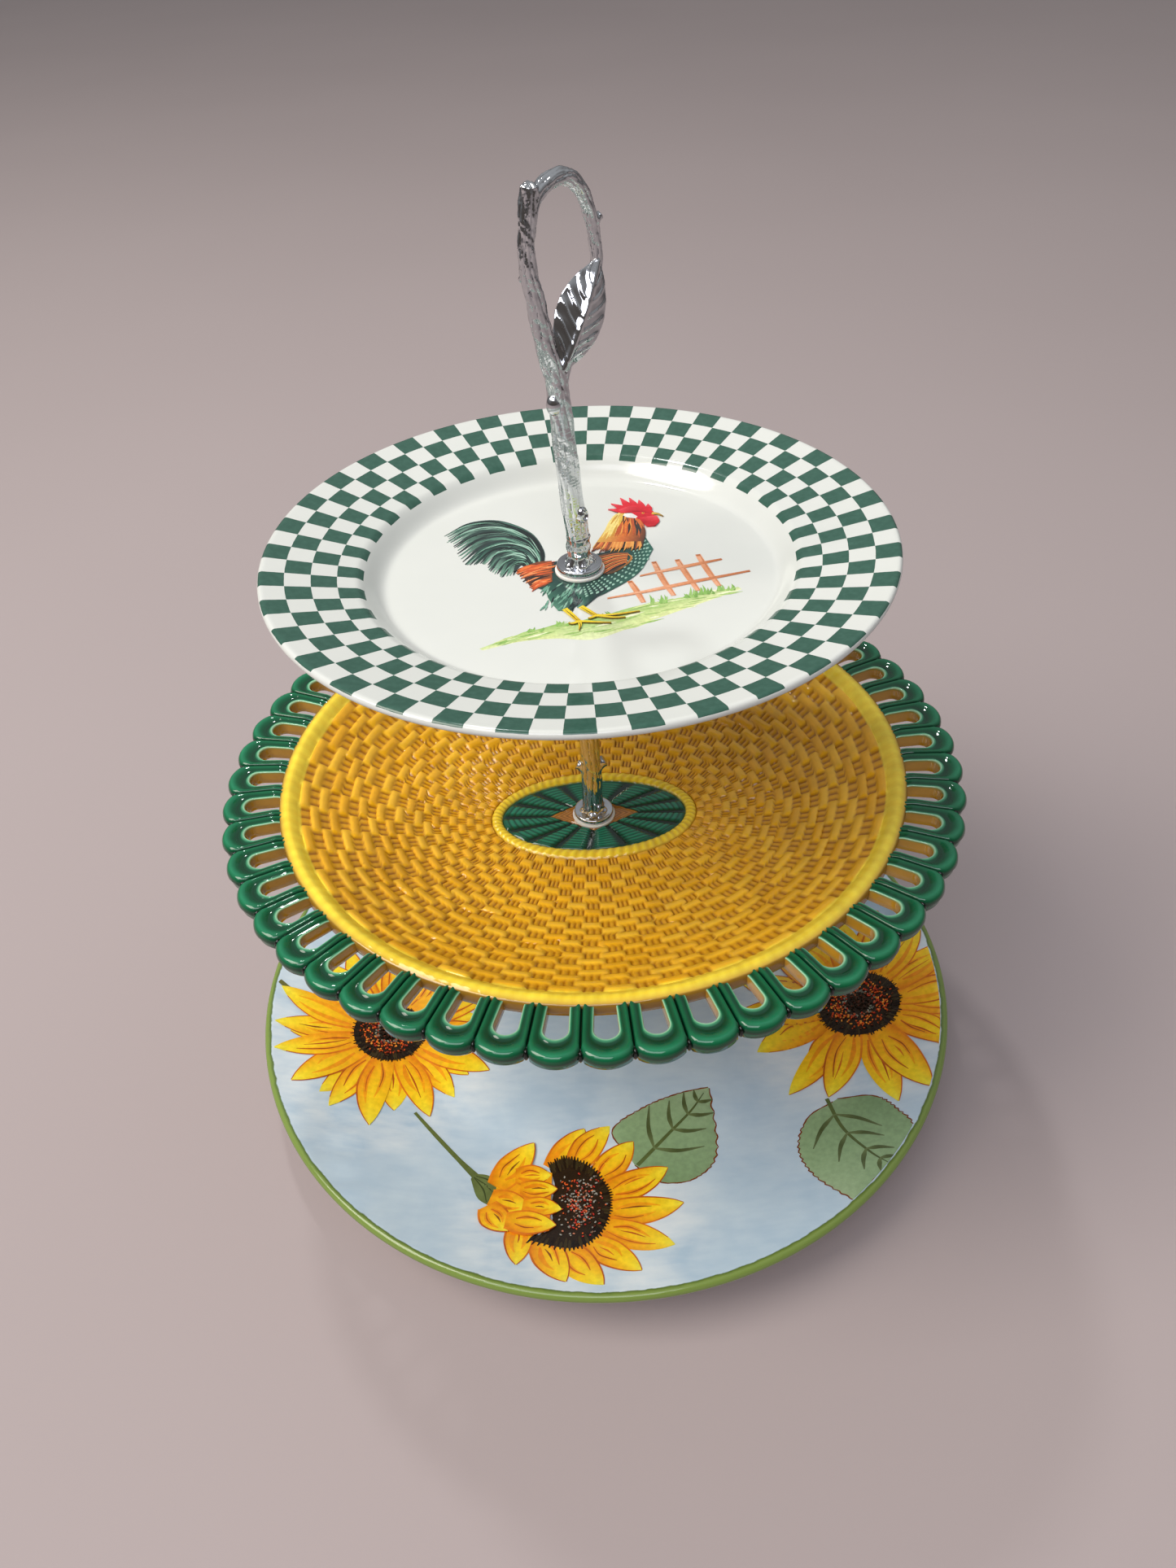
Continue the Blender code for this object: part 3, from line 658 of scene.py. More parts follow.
@dataclass
class Enamel:
    """Colours laid on a plate's face by brush, each stroke a thin closed skin."""

    surface: Callable[[np.ndarray], np.ndarray]
    step: float = 0.0018  # each stroke lies this much higher than the last, in millimetres
    lift: float = 0.03
    limit: float = 200.0
    points: list = field(default_factory=list)
    faces: list = field(default_factory=list)
    colours: list = field(default_factory=list)
    total: int = 0

    def fill(self, left: Sequence, right: Sequence, colours: Sequence, stations: int = 0) -> None:
        """Cover the space between two edge lines.

        Args:
            left: Points of one edge.
            right: Points of the other edge.
            colours: Hex colours along the shape, each one or a tuple from left to right.
            stations: Number of cross-sections, or 0 to choose by length.
        """
        reach = np.abs(np.diff(np.array(left, float), axis=0)).sum()
        count = stations or int(np.clip(reach / 1.1, 6, 44))
        a, b = follow(left, count), follow(right, count)
        width = float(np.linalg.norm(a - b, axis=1).max())
        across = int(np.clip(width / 1.3, 2, 24)) + 1
        share = np.linspace(0, 1, across)[None, :, None]
        plan = a[:, None, :] * (1 - share) + b[:, None, :] * share
        radius = np.linalg.norm(plan, axis=2)
        scale = np.minimum(1.0, self.limit / np.maximum(radius, 1e-6))[..., None]
        plan = plan * scale
        ground = self.surface(np.linalg.norm(plan, axis=2))
        top = np.dstack([plan, ground + self.lift])
        under = np.dstack([plan, ground - 0.03])[:, -2:0:-1]
        ring = np.concatenate([top, under], axis=1)
        width_keys = max(len(row) if isinstance(row, tuple) else 1 for row in colours)
        rows = np.stack(
            [hues(*(row if isinstance(row, tuple) else (row,) * width_keys)) for row in colours]
        )
        if len(rows) == 1:
            rows = np.repeat(rows, 2, axis=0)
        along = np.linspace(0, len(rows) - 1, count)
        low = np.minimum(along.astype(int), len(rows) - 2)
        mixed = rows[low] + (rows[low + 1] - rows[low]) * (along - low)[:, None, None]
        if width_keys == 1:
            tone = np.repeat(mixed, across, axis=1)
        else:
            side = np.linspace(0, width_keys - 1, across)
            near = np.minimum(side.astype(int), width_keys - 2)
            part = (side - near)[None, :, None]
            tone = mixed[:, near] * (1 - part) + mixed[:, near + 1] * part
        tone = np.concatenate([tone, tone[:, -2:0:-1]], axis=1)
        size = ring.shape[1]
        self.points.append(ring.reshape(-1, 3))
        self.colours.append(tone.reshape(-1, 3))
        self.faces += [[self.total + k for k in face] for face in tube_faces(count, size)]
        self.total += count * size
        self.lift += self.step

    def stroke(self, line: Sequence, widths: Sequence, colours: Sequence) -> None:
        """Draw one brush stroke.

        Args:
            line: Points the brush passes through.
            widths: Full width at even places along the line.
            colours: Hex colours along the line.
        """
        count = int(np.clip(np.abs(np.diff(np.array(line, float), axis=0)).sum() / 1.2, 4, 40))
        path = follow(line, count)
        way = np.gradient(path, axis=0)
        way /= np.maximum(np.linalg.norm(way, axis=1, keepdims=True), 1e-9)
        side = np.stack([-way[:, 1], way[:, 0]], axis=1)
        half = np.interp(np.linspace(0, 1, count), np.linspace(0, 1, len(widths)), widths) / 2
        half = np.maximum(half, 0.02)[:, None]
        self.fill(path + side * half, path - side * half, colours, count)

    def piece(self, name: str) -> Piece:
        """Make the strokes one piece."""
        made = mesh_piece(name, np.concatenate(self.points), self.faces)
        lay_colour(made, np.concatenate(self.colours))
        return face_out(made, 0.0)


# ---------------- top tier


@dataclass
class TopTier:
    """Checked porcelain side plate with a painted cockerel, fence and grass."""

    wheel_steps: int = 256

    def __post_init__(self) -> None:
        """Read where the plate's face lies from the frame."""
        low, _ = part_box("top_plate")
        thickness, foot_height = 4.2, 4.0
        self.plate = TurnedPlate(
            face=low.z / MM + foot_height + thickness,
            radius=100.0,
            well=62.0,
            rise=13.0,
            thickness=thickness,
            rim_thickness=2.8,
            foot=58.0,
            foot_width=4.5,
            foot_height=foot_height,
            shoulder=9.5,
            step=6.8,
        )

    def build(self) -> None:
        """Make the plate and its paintings, and dress them."""
        plate = spin_outline("checked_plate", self.plate.outline(), self.wheel_steps, True)
        checks = CheckedPorcelain().material()
        hand_over(plate, Body.TOP_TIER, checks, ["top_plate"])
        # Onglaze colour melts in: half as glossy as the glaze, in fine 1 mm brush grain.
        enamel = FiredGlaze(
            name="onglaze_on_porcelain", mottle_mm=1.1, mottle=0.16, roughness=0.16, ior=1.52,
            wave_mm=3.0, wave=0.01,
        ).material()
        for made in (self.grass(), self.fence(), self.cockerel()):
            hand_over(made, Body.TOP_TIER, enamel)

    def brush(self, lift: float) -> Enamel:
        """Return a brush that works on this plate's face."""
        return Enamel(self.plate.height, step=0.0007, lift=lift)

    def grass(self) -> Piece:
        """Paint the slope of pale grass with its blades."""
        work, draw = self.brush(0.015), random.Random(11)
        top = [(-31, -41), (-20, -35), (-7, -30.5), (5, -27.5), (16, -23), (30, -19.5), (49, -15)]
        foot = [(-30, -42), (-19, -38.5), (-8, -38), (3, -39.5), (14, -34.5), (32, -25.5), (50, -16.5)]
        greens = [("#bcd08c", "#e2e8b4"), ("#9fc071", "#dfe6a8")]
        greens += [("#a3c474", "#d3dd98"), ("#93b964", "#dce5b0")]
        work.fill(top, foot, greens + greens[::-1], 60)
        ridge, hem = follow(top, 60), follow(foot, 60)
        for _ in range(90):
            at = draw.randrange(3, 56)
            share = draw.random() ** 1.4
            spot = between(ridge[at], hem[at], share)
            length = draw.uniform(3.0, 8.5)
            slope = (ridge[at + 2] - ridge[at - 2]) / np.linalg.norm(ridge[at + 2] - ridge[at - 2])
            end = spot + slope * length + np.array([0, draw.uniform(-0.5, 0.5)])
            tone = draw.choice(["#8ab35e", "#a9c878", "#c9d893", "#b3cc80", "#98ba68", "#e6ebc4"])
            work.stroke([spot, (spot + end) / 2, end], (0.2, draw.uniform(0.5, 1.3), 0.1), [tone])
        for clump in (32.5, 38.5, 46.0, 24.0, 8.0, -6.0, -14.0):
            base = ridge[int(np.argmin(np.abs(ridge[:, 0] - clump)))]
            for _ in range(9 if clump > 20 else 5):
                root = base + np.array([draw.uniform(-2.6, 2.6), -1.0])
                tall = draw.uniform(1.5, 6.0 if clump > 20 else 3.0)
                tip = root + np.array([draw.uniform(-1.6, 1.6), tall])
                tone = draw.choice(["#86b35c", "#97bd6a", "#7aa552"])
                work.stroke([root, root * 0.5 + tip * 0.5 + (0.3, 0), tip], (1.1, 0.8, 0.08), [tone])
        return work.piece("painted_grass")

    def fence(self) -> Piece:
        """Paint the rail fence."""
        work = self.brush(0.14)
        pale, warm, dark = "#e2a985", "#d08a5f", "#b0693f"
        posts = [
            [(15.5, -8), (17.3, -14), (19, -21)],
            [(24, 3), (26, -8), (28.6, -18)],
            [(31.6, 3.5), (33.8, -6), (36.4, -16)],
            [(38.6, 6), (40.6, -4), (43.2, -14)],
        ]
        for line in posts:
            work.stroke(line, (1.8, 2.1, 2.0, 1.6), [pale, warm, pale])
            shade = [(x + 0.55, y) for x, y in line]
            work.stroke(shade, (0.2, 0.5, 0.4), [dark, warm])
            work.stroke([line[0], (line[0][0] + 0.2, line[0][1] - 1.2)], (1.5, 1.2), [dark])
        for line in ([(8, -17.4), (20, -14.8), (34, -11), (54, -6)], [(19, -5.2), (32, -1.6), (46, 2.2)]):
            work.stroke(line, (0.6, 1.5, 1.9, 1.7, 1.0), [warm, pale, warm, dark])
            shade = [(x, y - 0.45) for x, y in line]
            work.stroke(shade, (0.2, 0.4, 0.35, 0.2), [dark, warm, dark])
        return work.piece("painted_fence")

    def cockerel(self) -> Piece:
        """Paint the cockerel, from its tail to its comb."""
        work, draw = self.brush(0.17), random.Random(5)
        self.tail(work, draw)
        self.trunk(work, draw)
        self.neck(work, draw)
        self.head(work)
        self.legs(work)
        return work.piece("painted_cockerel")

    def tail(self, work: Enamel, draw: random.Random) -> None:
        """Paint the sickle feathers, which arch back and droop.

        Args:
            work: Brush.
            draw: Source of chance.
        """
        outer = np.array([(-12, 5), (-12.5, 14), (-17, 26), (-27, 35), (-37, 35), (-45, 28)], float)
        inner = np.array([(-16, 1), (-17, 4), (-18, 6), (-20, 6), (-22, 4), (-24, -2)], float)
        tips = [(-45, 28), (-43.5, 24), (-41, 20), (-39.5, 14), (-37, 8), (-34, 8), (-31, 8)]
        tips += [(-29, 4), (-27.5, 1), (-25, -1), (-22, -1)]
        for n in range(34):
            share = n / 33
            line = between(outer, inner, share)
            place = share * (len(tips) - 1)
            near = min(int(place), len(tips) - 2)
            goal = np.array(tips[near]) * (near + 1 - place) + np.array(tips[near + 1]) * (place - near)
            pull = np.linspace(0, 1, 6)[:, None] ** 2
            line = line + (goal - line[-1]) * pull
            line[2:] += draw.uniform(-0.5, 0.5)
            dark = draw.choice(["#22312f", "#2c3a38", "#24403a", "#30443f"])
            light = draw.choice(["#4d7a68", "#6f9c86", "#8cb5a0", "#3c5f52"])
            tones = [dark, dark, light if n % 2 else dark, dark, light if n % 3 else dark]
            work.stroke(line, (1.0, 2.0, 2.3, 2.2, 1.7, 0.2), tones)
        for n in range(70):
            share = draw.random()
            line = between(outer, inner, share)
            goal = np.array(tips[int(share * 10)]) - line[-1]
            line = line + goal * np.linspace(0, 1, 6)[:, None] ** 2
            start = draw.randrange(0, 3)
            line = line[start : start + 4] + draw.uniform(-0.8, 0.8)
            tone = draw.choice(["#1b2423", "#20302d", "#6f9f88", "#9cc2ae", "#3d5f54"])
            work.stroke(line, (0.1, draw.uniform(0.4, 0.9), 0.5, 0.08), [tone])

    def trunk(self, work: Enamel, draw: random.Random) -> None:
        """Paint body, thighs, saddle, wing and scaled breast.

        Args:
            work: Brush.
            draw: Source of chance.
        """
        dark, green = "#1e3032", "#284c42"
        back = [(-14, 5), (-6, 7), (2, 9), (9, 11), (15, 15), (21.5, 23)]
        belly = [(-14, -9), (-7, -14), (1, -18), (10, -12.5), (19, -3), (24.5, 11)]
        work.fill(back, belly, [(dark, "#2c4f45"), (dark, green), ("#26433e", "#35695a")], 30)
        for left, right in (
            ([(-11, -6), (-10.5, -15), (-7.5, -23)], [(1, -11), (0, -18), (-3.5, -23.5)]),
            ([(-3, -10), (-1, -17), (-1.6, -22)], [(9, -11), (4.5, -17), (1.2, -21.5)]),
        ):
            work.fill(left, right, [(green, dark), ("#3b6b58", dark), ("#5d9078", dark)], 14)
        for _ in range(46):
            x = draw.uniform(-11, 1)
            y = draw.uniform(-20, -6)
            end = (x - draw.uniform(0.5, 2.5), y - draw.uniform(2, 5))
            tone = draw.choice(["#6a9c85", "#1d2c2c", "#86b09a", "#44715f"])
            work.stroke([(x, y), end], (0.1, 0.9, 0.1), [tone])
        scales = follow([(22.5, 20), (23.5, 9), (19, -2), (10, -10.5), (2, -15)], 19)
        inward = follow([(18, 15), (17, 8), (13, 2), (6, -5), (1, -9)], 19)
        for row in range(5):
            for n in range(19):
                spot = scales[n] + (inward[n] - scales[n]) * (row + 0.5 * (n % 2)) / 5
                size = draw.uniform(0.65, 1.0) * (1.15 - 0.12 * row)
                tip = spot + np.array([-0.7, -1.3]) * size
                work.stroke([spot, (spot + tip) / 2, tip], (0.35, 1.15 * size, 0.2), ["#7fae98", "#a9cdbb"])
        saddle_top, saddle_foot = [(-9, 7), (-14, 6.5), (-20, 3)], [(-9, -6), (-12.5, -9), (-16, -8)]
        work.fill(saddle_top, saddle_foot, ["#8a4a2a", "#5a3324"], 10)
        for n in range(40):
            share = draw.random()
            root = between((-7, 7), (-9, -6), share)
            tip = between((-20.5, 1.5), (-14.5, -10.5), share)
            tip = tip + (draw.uniform(-1, 1), draw.uniform(-1, 1))
            start = draw.uniform(0, 0.6)
            first = root + (tip - root) * start
            middle = (first + tip) / 2 + (0, 0.9)
            tone = draw.choice(["#d9672f", "#e07a3c", "#c4552a", "#2c2422", "#e9925a"])
            work.stroke([first, middle, tip], (0.3, 1.1, 0.15), [tone])
        wing_top, wing_foot = [(5, 8), (11, 10), (15.5, 9)], [(7, -3), (11, -3), (15.5, 3)]
        work.fill(wing_top, wing_foot, ["#7a4a2c", "#4a3a2c", "#8a5a34"], 9)
        for n in range(18):
            share = n / 17
            root = between((16, 8.5), (15, 2.5), share)
            tip = between((6, 7), (7.5, -3.5), share)
            tone = ("#d9743a", "#2a2a28", "#e39a4c", "#b5532c")[n % 4]
            work.stroke([root, (root + tip) / 2 + (0.3, 0.8), tip], (1.1, 1.0, 0.15), [tone])
        wing_edge = [(16, 8.5), (17, 6), (15.5, 2.5), (12, -1.5), (8, -4)]
        work.stroke(wing_edge, (0.3, 0.8, 0.7, 0.4), ["#dc9448", "#2b2622"])

    def neck(self, work: Enamel, draw: random.Random) -> None:
        """Paint the hackle, yellow at the back and rust in front.

        Args:
            work: Brush.
            draw: Source of chance.
        """
        left = [(14.5, 37), (11.5, 31), (8, 22), (4.5, 13.5)]
        right = [(20.5, 35), (22, 29), (22.8, 22), (21, 12)]
        wash = [("#d9c06a", "#c8693a", "#7d4128"), ("#dcb552", "#cf7434", "#6a3a26")]
        wash += [("#c99a4a", "#c4632f", "#33302a")]
        work.fill(left, right, wash, 16)
        for _ in range(120):
            share = draw.random()
            start = draw.uniform(0, 0.7)
            low = int(start * 13)
            quill = between(follow(left, 20), follow(right, 20), share)[low : low + 7]
            quill = quill + np.array([draw.uniform(-0.3, 0.3), 0])
            if share < 0.33:
                tone = draw.choice(["#ecd884", "#dcb44a", "#c9973a", "#e8cf78"])
            elif share < 0.66:
                tone = draw.choice(["#d9782f", "#e39a48", "#b9562a", "#3a2a22"])
            else:
                tone = draw.choice(["#b5542c", "#2f2a28", "#cc6a36", "#3a3430"])
            work.stroke(quill[::2], (0.12, draw.uniform(0.6, 1.0), 0.7, 0.1), [tone])
        for n in range(26):
            share = n / 25
            root = between((6.5, 17), (20.5, 16), share)
            tip = root + (-2.4 + 1.6 * share, -draw.uniform(4.0, 7.0))
            tone = draw.choice(["#c9693a", "#d98a44", "#8a4a2c", "#3a2c26", "#e0a050"])
            work.stroke([root, (root + tip) / 2 + (0.3, 0), tip], (0.5, 0.9, 0.1), [tone])

    def head(self, work: Enamel) -> None:
        """Paint comb, face, ear, beak, eye and wattles.

        Args:
            work: Brush.
        """
        red, deep, light = "#cf2230", "#a3141f", "#e2505a"
        for root, tip in (
            ((16.5, 37.5), (11.0, 39.5)),
            ((17, 38.5), (12.2, 43.5)),
            ((18.4, 39), (15.6, 47.3)),
            ((20.4, 38.6), (18.8, 47)),
            ((22.4, 37.8), (22, 45)),
            ((24.2, 36.4), (25, 41.8)),
        ):
            middle = (np.array(root) + np.array(tip)) / 2 + (0.3, -0.2)
            work.stroke([root, middle, tip], (3.4, 2.7, 0.25), [red, red, light])
        comb_top = [(14.5, 38.5), (19, 41), (23.5, 39.5), (26.5, 36)]
        comb_foot = [(15.5, 36), (19, 36), (23, 34), (26.5, 33)]
        work.fill(comb_top, comb_foot, [(light, red), (red, deep), (red, red)], 12)
        face_top, face_foot = [(19, 36), (22.5, 36.2), (26.5, 35.2)], [(20.6, 31.5), (23, 30.5), (26, 31)]
        work.fill(face_top, face_foot, [red, (red, deep), red], 8)
        wattle_left, wattle_right = [(21, 32.5), (22.2, 28.5), (23.2, 26)], [(27.4, 33), (28, 29.2), (26.4, 26)]
        work.fill(wattle_left, wattle_right, [(red, light), (deep, red), (red, deep)], 10)
        work.stroke([(19, 36.8), (22, 36.4), (25.4, 35)], (0.2, 0.5, 0.2), [deep])
        work.stroke([(25.8, 34.8), (27.8, 34.2), (29.6, 32.4)], (1.6, 1.3, 0.15), ["#d9b04a", "#8a6a2c"])
        work.stroke([(16.2, 35.0), (18, 34.2), (20.4, 32.4)], (1.4, 3.4, 1.4), ["#f1efe9", "#dcdad4"])
        work.stroke([(22.4, 35.3), (23.2, 35.1)], (0.9, 0.8), ["#e8a13c"])
        work.stroke([(22.7, 35.25), (23.0, 35.2)], (0.5, 0.4), ["#141414"])

    def legs(self, work: Enamel) -> None:
        """Paint the yellow shanks and toes.

        Args:
            work: Brush.
        """
        bright, dull, line = "#e9cb2c", "#c9a21f", "#6f5a18"
        limbs = (
            [(-5.4, -22.6), (-3.4, -26), (-1.2, -30)],
            [(-1.2, -30), (-0.8, -32), (-1.3, -34.4)],
            [(-1.2, -30), (2, -30.6), (8.5, -31.5)],
            [(-1.2, -30), (-3, -31), (-4.4, -30.4)],
            [(-0.4, -21.8), (2, -24.8), (4.2, -27.4)],
            [(4.2, -27.4), (9, -27.4), (17.5, -26)],
            [(4.2, -27.4), (8.5, -28.8), (13, -29)],
            [(4.2, -27.4), (2.6, -28.4), (1.6, -28.4)],
        )
        for n, limb in enumerate(limbs):
            width, end = (1.9, 0.8) if n in (0, 4) else (1.2, 0.25)
            work.stroke(limb, (width, width * 0.9, width * end), [bright, bright, dull])
            shade = [(x + 0.1, y - 0.45) for x, y in limb]
            work.stroke(shade, (0.15, 0.4, 0.1), [line])


# ---------------- bottom tier


@dataclass
class BottomTier:
    """Large earthenware plate, sky blue, with sunflowers painted across it."""

    wheel_steps: int = 256

    def __post_init__(self) -> None:
        """Read where the plate's face lies from the frame."""
        low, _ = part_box("bottom_plate")
        thickness, foot_height = 5.0, 6.0
        self.plate = TurnedPlate(
            face=low.z / MM + foot_height + thickness,
            radius=144.1,
            well=82.0,
            rise=18.0,
            thickness=thickness,
            rim_thickness=4.2,
            foot=86.0,
            foot_width=5.0,
            foot_height=foot_height,
            power=1.5,
        )

    def build(self) -> None:
        """Make the plate and its paintings, and dress them."""
        plate = spin_outline("sky_plate", self.plate.outline(), self.wheel_steps, True)
        sky = SkyEarthenware().material()
        hand_over(plate, Body.BASE, sky, ["bottom_plate"])
        # Brushed underglaze colour: 2 mm bristle marks, under the same clear glaze.
        enamel = FiredGlaze(
            name="underglaze_painting", mottle_mm=2.0, mottle=0.14, wave_mm=8.0, wave=0.03, roughness=0.13
        ).material()
        for made in (self.leaves(), self.side_flower()):
            hand_over(made, Body.BASE, enamel)
        flowers = (
            ("left", (-93, -15), 14.8, 47, 3),
            ("right", (108, -17), 16.5, 51, 8),
            ("back_right", (62, 104), 15.0, 46, 21),
            ("back_left", (-74, 92), 15.0, 47, 34),
        )
        for name, centre, disc, reach, seed in flowers:
            hand_over(self.sunflower(name, centre, disc, reach, seed), Body.BASE, enamel)

    def brush(self, lift: float) -> Enamel:
        """Return a brush that works on this plate's face."""
        return Enamel(self.plate.height, step=0.0016, lift=lift, limit=140.9)

    def petal(self, work: Enamel, root: Sequence, tip: Sequence, width: float, draw: random.Random) -> None:
        """Paint one petal.

        Args:
            work: Brush.
            root: Where the petal leaves the disc.
            tip: Its point.
            width: Its width at the widest place.
            draw: Source of chance.
        """
        root, tip = np.asarray(root, float), np.asarray(tip, float)
        along = tip - root
        length = float(np.linalg.norm(along))
        side = np.array([-along[1], along[0]]) / length
        bow = draw.uniform(-0.06, 0.06) * length
        shares = (0.0, 0.2, 0.45, 0.7, 0.88, 1.0)
        spread = (0.62, 0.88, 1.0, 0.78, 0.42, 0.03)
        middle = [root + along * s + side * bow * math.sin(math.pi * s) for s in shares]
        left = [m + side * width / 2 * w for m, w in zip(middle, spread)]
        right = [m - side * width / 2 * w for m, w in zip(middle, spread)]
        flip = draw.random() < 0.5
        rows = [
            ("#dc7414", "#efa018", "#ee9418"),
            ("#e98616", "#f8bb1a", "#f5a918"),
            ("#f0981a", "#fcd021", "#f9bd1c"),
            ("#f4ae1e", "#fddc29", "#f9cf22"),
            ("#f5c728", "#fbe636", "#f5dc30"),
            ("#ecdc42", "#f3e952", "#e8dc46"),
        ]
        if flip:
            rows = [row[::-1] for row in rows]
        work.fill(left, right, rows, 14)
        work.lift += 0.006
        rust, orange = "#b8561a", "#ec8f1c"
        reach = draw.uniform(0.75, 1.0)
        for sign in (1, -1):
            edge = [m + side * sign * width / 2 * w * 0.96 for m, w in zip(middle, spread)]
            if draw.random() < 0.85:
                tone = rust if draw.random() < 0.5 else "#d9741e"
                work.stroke(edge[: 6 if reach > 0.82 else 5], (1.0, 0.8, 0.5, 0.3), [orange, tone, rust])
            start, end = draw.uniform(0.08, 0.2), draw.uniform(0.6, 0.8)
            hollow = [
                root + along * (start + (end - start) * s)
                + side * (bow + sign * width * draw.uniform(0.2, 0.26) * math.sin(math.pi * (0.15 + 0.7 * s)))
                for s in (0.0, 0.35, 0.7, 1.0)
            ]
            tone = draw.choice([orange, "#f29c1c", "#e98418"])
            work.stroke(hollow, (0.8, 2.1, 1.5, 0.3), [tone, "#f6ac1c"])
            if draw.random() < 0.6:
                crease = hollow[: draw.choice([3, 4])]
                work.stroke(crease, (0.2, 0.6, 0.25), [draw.choice([rust, "#c9661c", "#a04c1a"])])
        if draw.random() < 0.6:
            start, end = draw.uniform(0.15, 0.35), draw.uniform(0.5, 0.75)
            vein = [root + along * start, root + along * (start + end) / 2 + side * 0.4, root + along * end]
            work.stroke(vein, (0.2, 0.8, 0.2), [draw.choice(["#8a4a1c", "#b9541c", "#d9741e"])])

    def seeds(self, work: Enamel, spots: Sequence, draw: random.Random) -> None:
        """Dab the dark disc with red, orange and grey seeds at the given spots.

        Args:
            work: Brush.
            spots: Place and colour of each seed.
            draw: Source of chance.
        """
        for x, y, tone in spots:
            turn = draw.uniform(0, TURN)
            reach = draw.uniform(0.5, 1.1)
            end = (x + reach * math.cos(turn), y + reach * math.sin(turn))
            work.stroke([(x, y), end], (0.45, 0.7, 0.3), [tone])

    def sunflower(self, name: str, centre: Point, disc: float, reach: float, seed: int) -> Piece:
        """Paint a sunflower that faces up.

        Args:
            name: Which flower it is.
            centre: Middle of its disc.
            disc: Radius of the disc.
            reach: Distance from the centre to the petals' tips.
            seed: Seed of its chances.

        Returns:
            The painted flower.
        """
        work, draw = self.brush(0.05), random.Random(seed)
        middle = np.array(centre, float)
        count = 16
        for turn, far, every in ((0.5, 0.86, 2), (0.0, 1.0, 1)):
            order = list(range(0, count, every))
            draw.shuffle(order)
            for n in order:
                angle = TURN * (n + turn) / count + draw.uniform(-0.07, 0.07)
                way = heading(angle)
                tip = middle + way * reach * far * draw.uniform(0.93, 1.06)
                self.petal(work, middle + way * disc * 0.85, tip, reach * draw.uniform(0.23, 0.29), draw)
        arc = np.linspace(0, math.pi, 15)
        edge, back = ([middle + disc * heading(sign * a) for a in arc] for sign in (1, -1))
        work.fill(edge, back, ["#231a13", "#2a1f16", "#231a13"], 24)
        work.lift += 0.004
        for n in range(120):
            angle = TURN * n / 120 + draw.uniform(-0.04, 0.04)
            way = heading(angle)
            inner = disc * draw.uniform(0.7, 0.9)
            outer = disc * draw.uniform(0.99, 1.09)
            tone = draw.choice(["#1d1510", "#2b2016", "#38301c", "#19120e"])
            work.stroke([middle + way * inner, middle + way * outer], (1.2, 0.9, 0.3), [tone])
        spots = []
        for _ in range(430):
            far = disc * (draw.uniform(0.28, 0.82) ** 0.9)
            angle = draw.uniform(0, TURN)
            share = far / disc
            pool = ["#c23a1e", "#d9541f", "#e8792a", "#f0a040", "#7a2416"] if share > 0.42 else [
                "#7d7f70", "#8f9180", "#a35a3a", "#c2452a", "#6a6a5e"
            ]
            if share > 0.72:
                pool = ["#5a2a18", "#c9501f", "#231a13", "#3a2a1a"]
            x, y = middle + far * heading(angle)
            spots.append((x, y, draw.choice(pool)))
        for _ in range(90):
            far, angle = disc * draw.uniform(0.0, 0.3), draw.uniform(0, TURN)
            x, y = middle + far * heading(angle)
            spots.append((x, y, draw.choice(["#2a1c14", "#3a2418", "#5a2c1c", "#1d1510"])))
        self.seeds(work, spots, draw)
        return work.piece(f"painted_sunflower_{name}")

    def side_flower(self) -> Piece:
        """Paint the sunflower seen from its side, at the plate's front."""
        work, draw = self.brush(0.05), random.Random(13)
        far = (
            ((-24, -84), (-11, -66.5), 13),
            ((-16, -84), (-1, -66), 12),
            ((-8, -90), (8, -73.5), 12),
            ((-5, -96), (20.5, -86), 13),
            ((-4, -104), (25, -103), 13),
            ((-6, -111), (20, -122), 13),
            ((-12, -117), (7.5, -132.5), 12),
            ((-20, -119), (-6, -138), 13),
            ((-29, -116), (-19, -136), 12.5),
            ((-36, -108), (-36.5, -128), 10.5),
        )
        for root, tip, width in far:
            self.petal(work, root, tip, width, draw)
        disc_right = [(-25, -82), (-18, -79.5), (-9, -84), (-3, -94), (-2.5, -104), (-7, -115)]
        disc_right += [(-17, -121), (-32, -117)]
        disc_left = [(-25, -84), (-24, -87), (-23, -92), (-24, -98), (-24, -104), (-24, -109)]
        disc_left += [(-26, -113), (-32, -116)]
        work.fill(disc_left, disc_right, ["#231a13", "#2b2018", "#231a13"], 30)
        work.lift += 0.004
        rim = follow(disc_right, 60)
        for spot in rim:
            inward = (np.array([-17.0, -100.0]) - spot) * draw.uniform(0.1, 0.25)
            tone = draw.choice(["#1b1410", "#2f2618", "#38301c"])
            work.stroke([spot - inward * 0.35, spot + inward], (0.4, 1.3, 0.6), [tone])
        spots, pool = [], ["#c2352a", "#e0622c", "#8d8d84", "#a3a49a", "#77685c", "#d98a6a", "#5a2418"]
        for _ in range(300):
            x, y = draw.gauss(-13.5, 4.2), draw.gauss(-101, 8.0)
            if abs(x + 13) < 9 and abs(y + 101) < 15:
                spots.append((x, y, draw.choice(pool)))
        self.seeds(work, spots, draw)
        near = (
            ((-45, -92), (-31, -72), 12.5),
            ((-38, -87), (-24.5, -87), 10),
            ((-36, -93), (-22, -93.5), 9),
            ((-47, -97), (-32.5, -101.5), 11),
            ((-35, -101), (-20.5, -103), 9),
            ((-48, -101), (-40, -113), 11.5),
            ((-41, -108), (-22.5, -110.5), 11),
        )
        work.fill(
            [(-45, -92), (-40, -87), (-30, -84), (-24, -86)],
            [(-46, -100), (-42, -111), (-34, -115), (-25, -113)],
            [("#f6b81c", "#e98a18"), ("#f4a81a", "#e07a18")],
            16,
        )
        for root, tip, width in near:
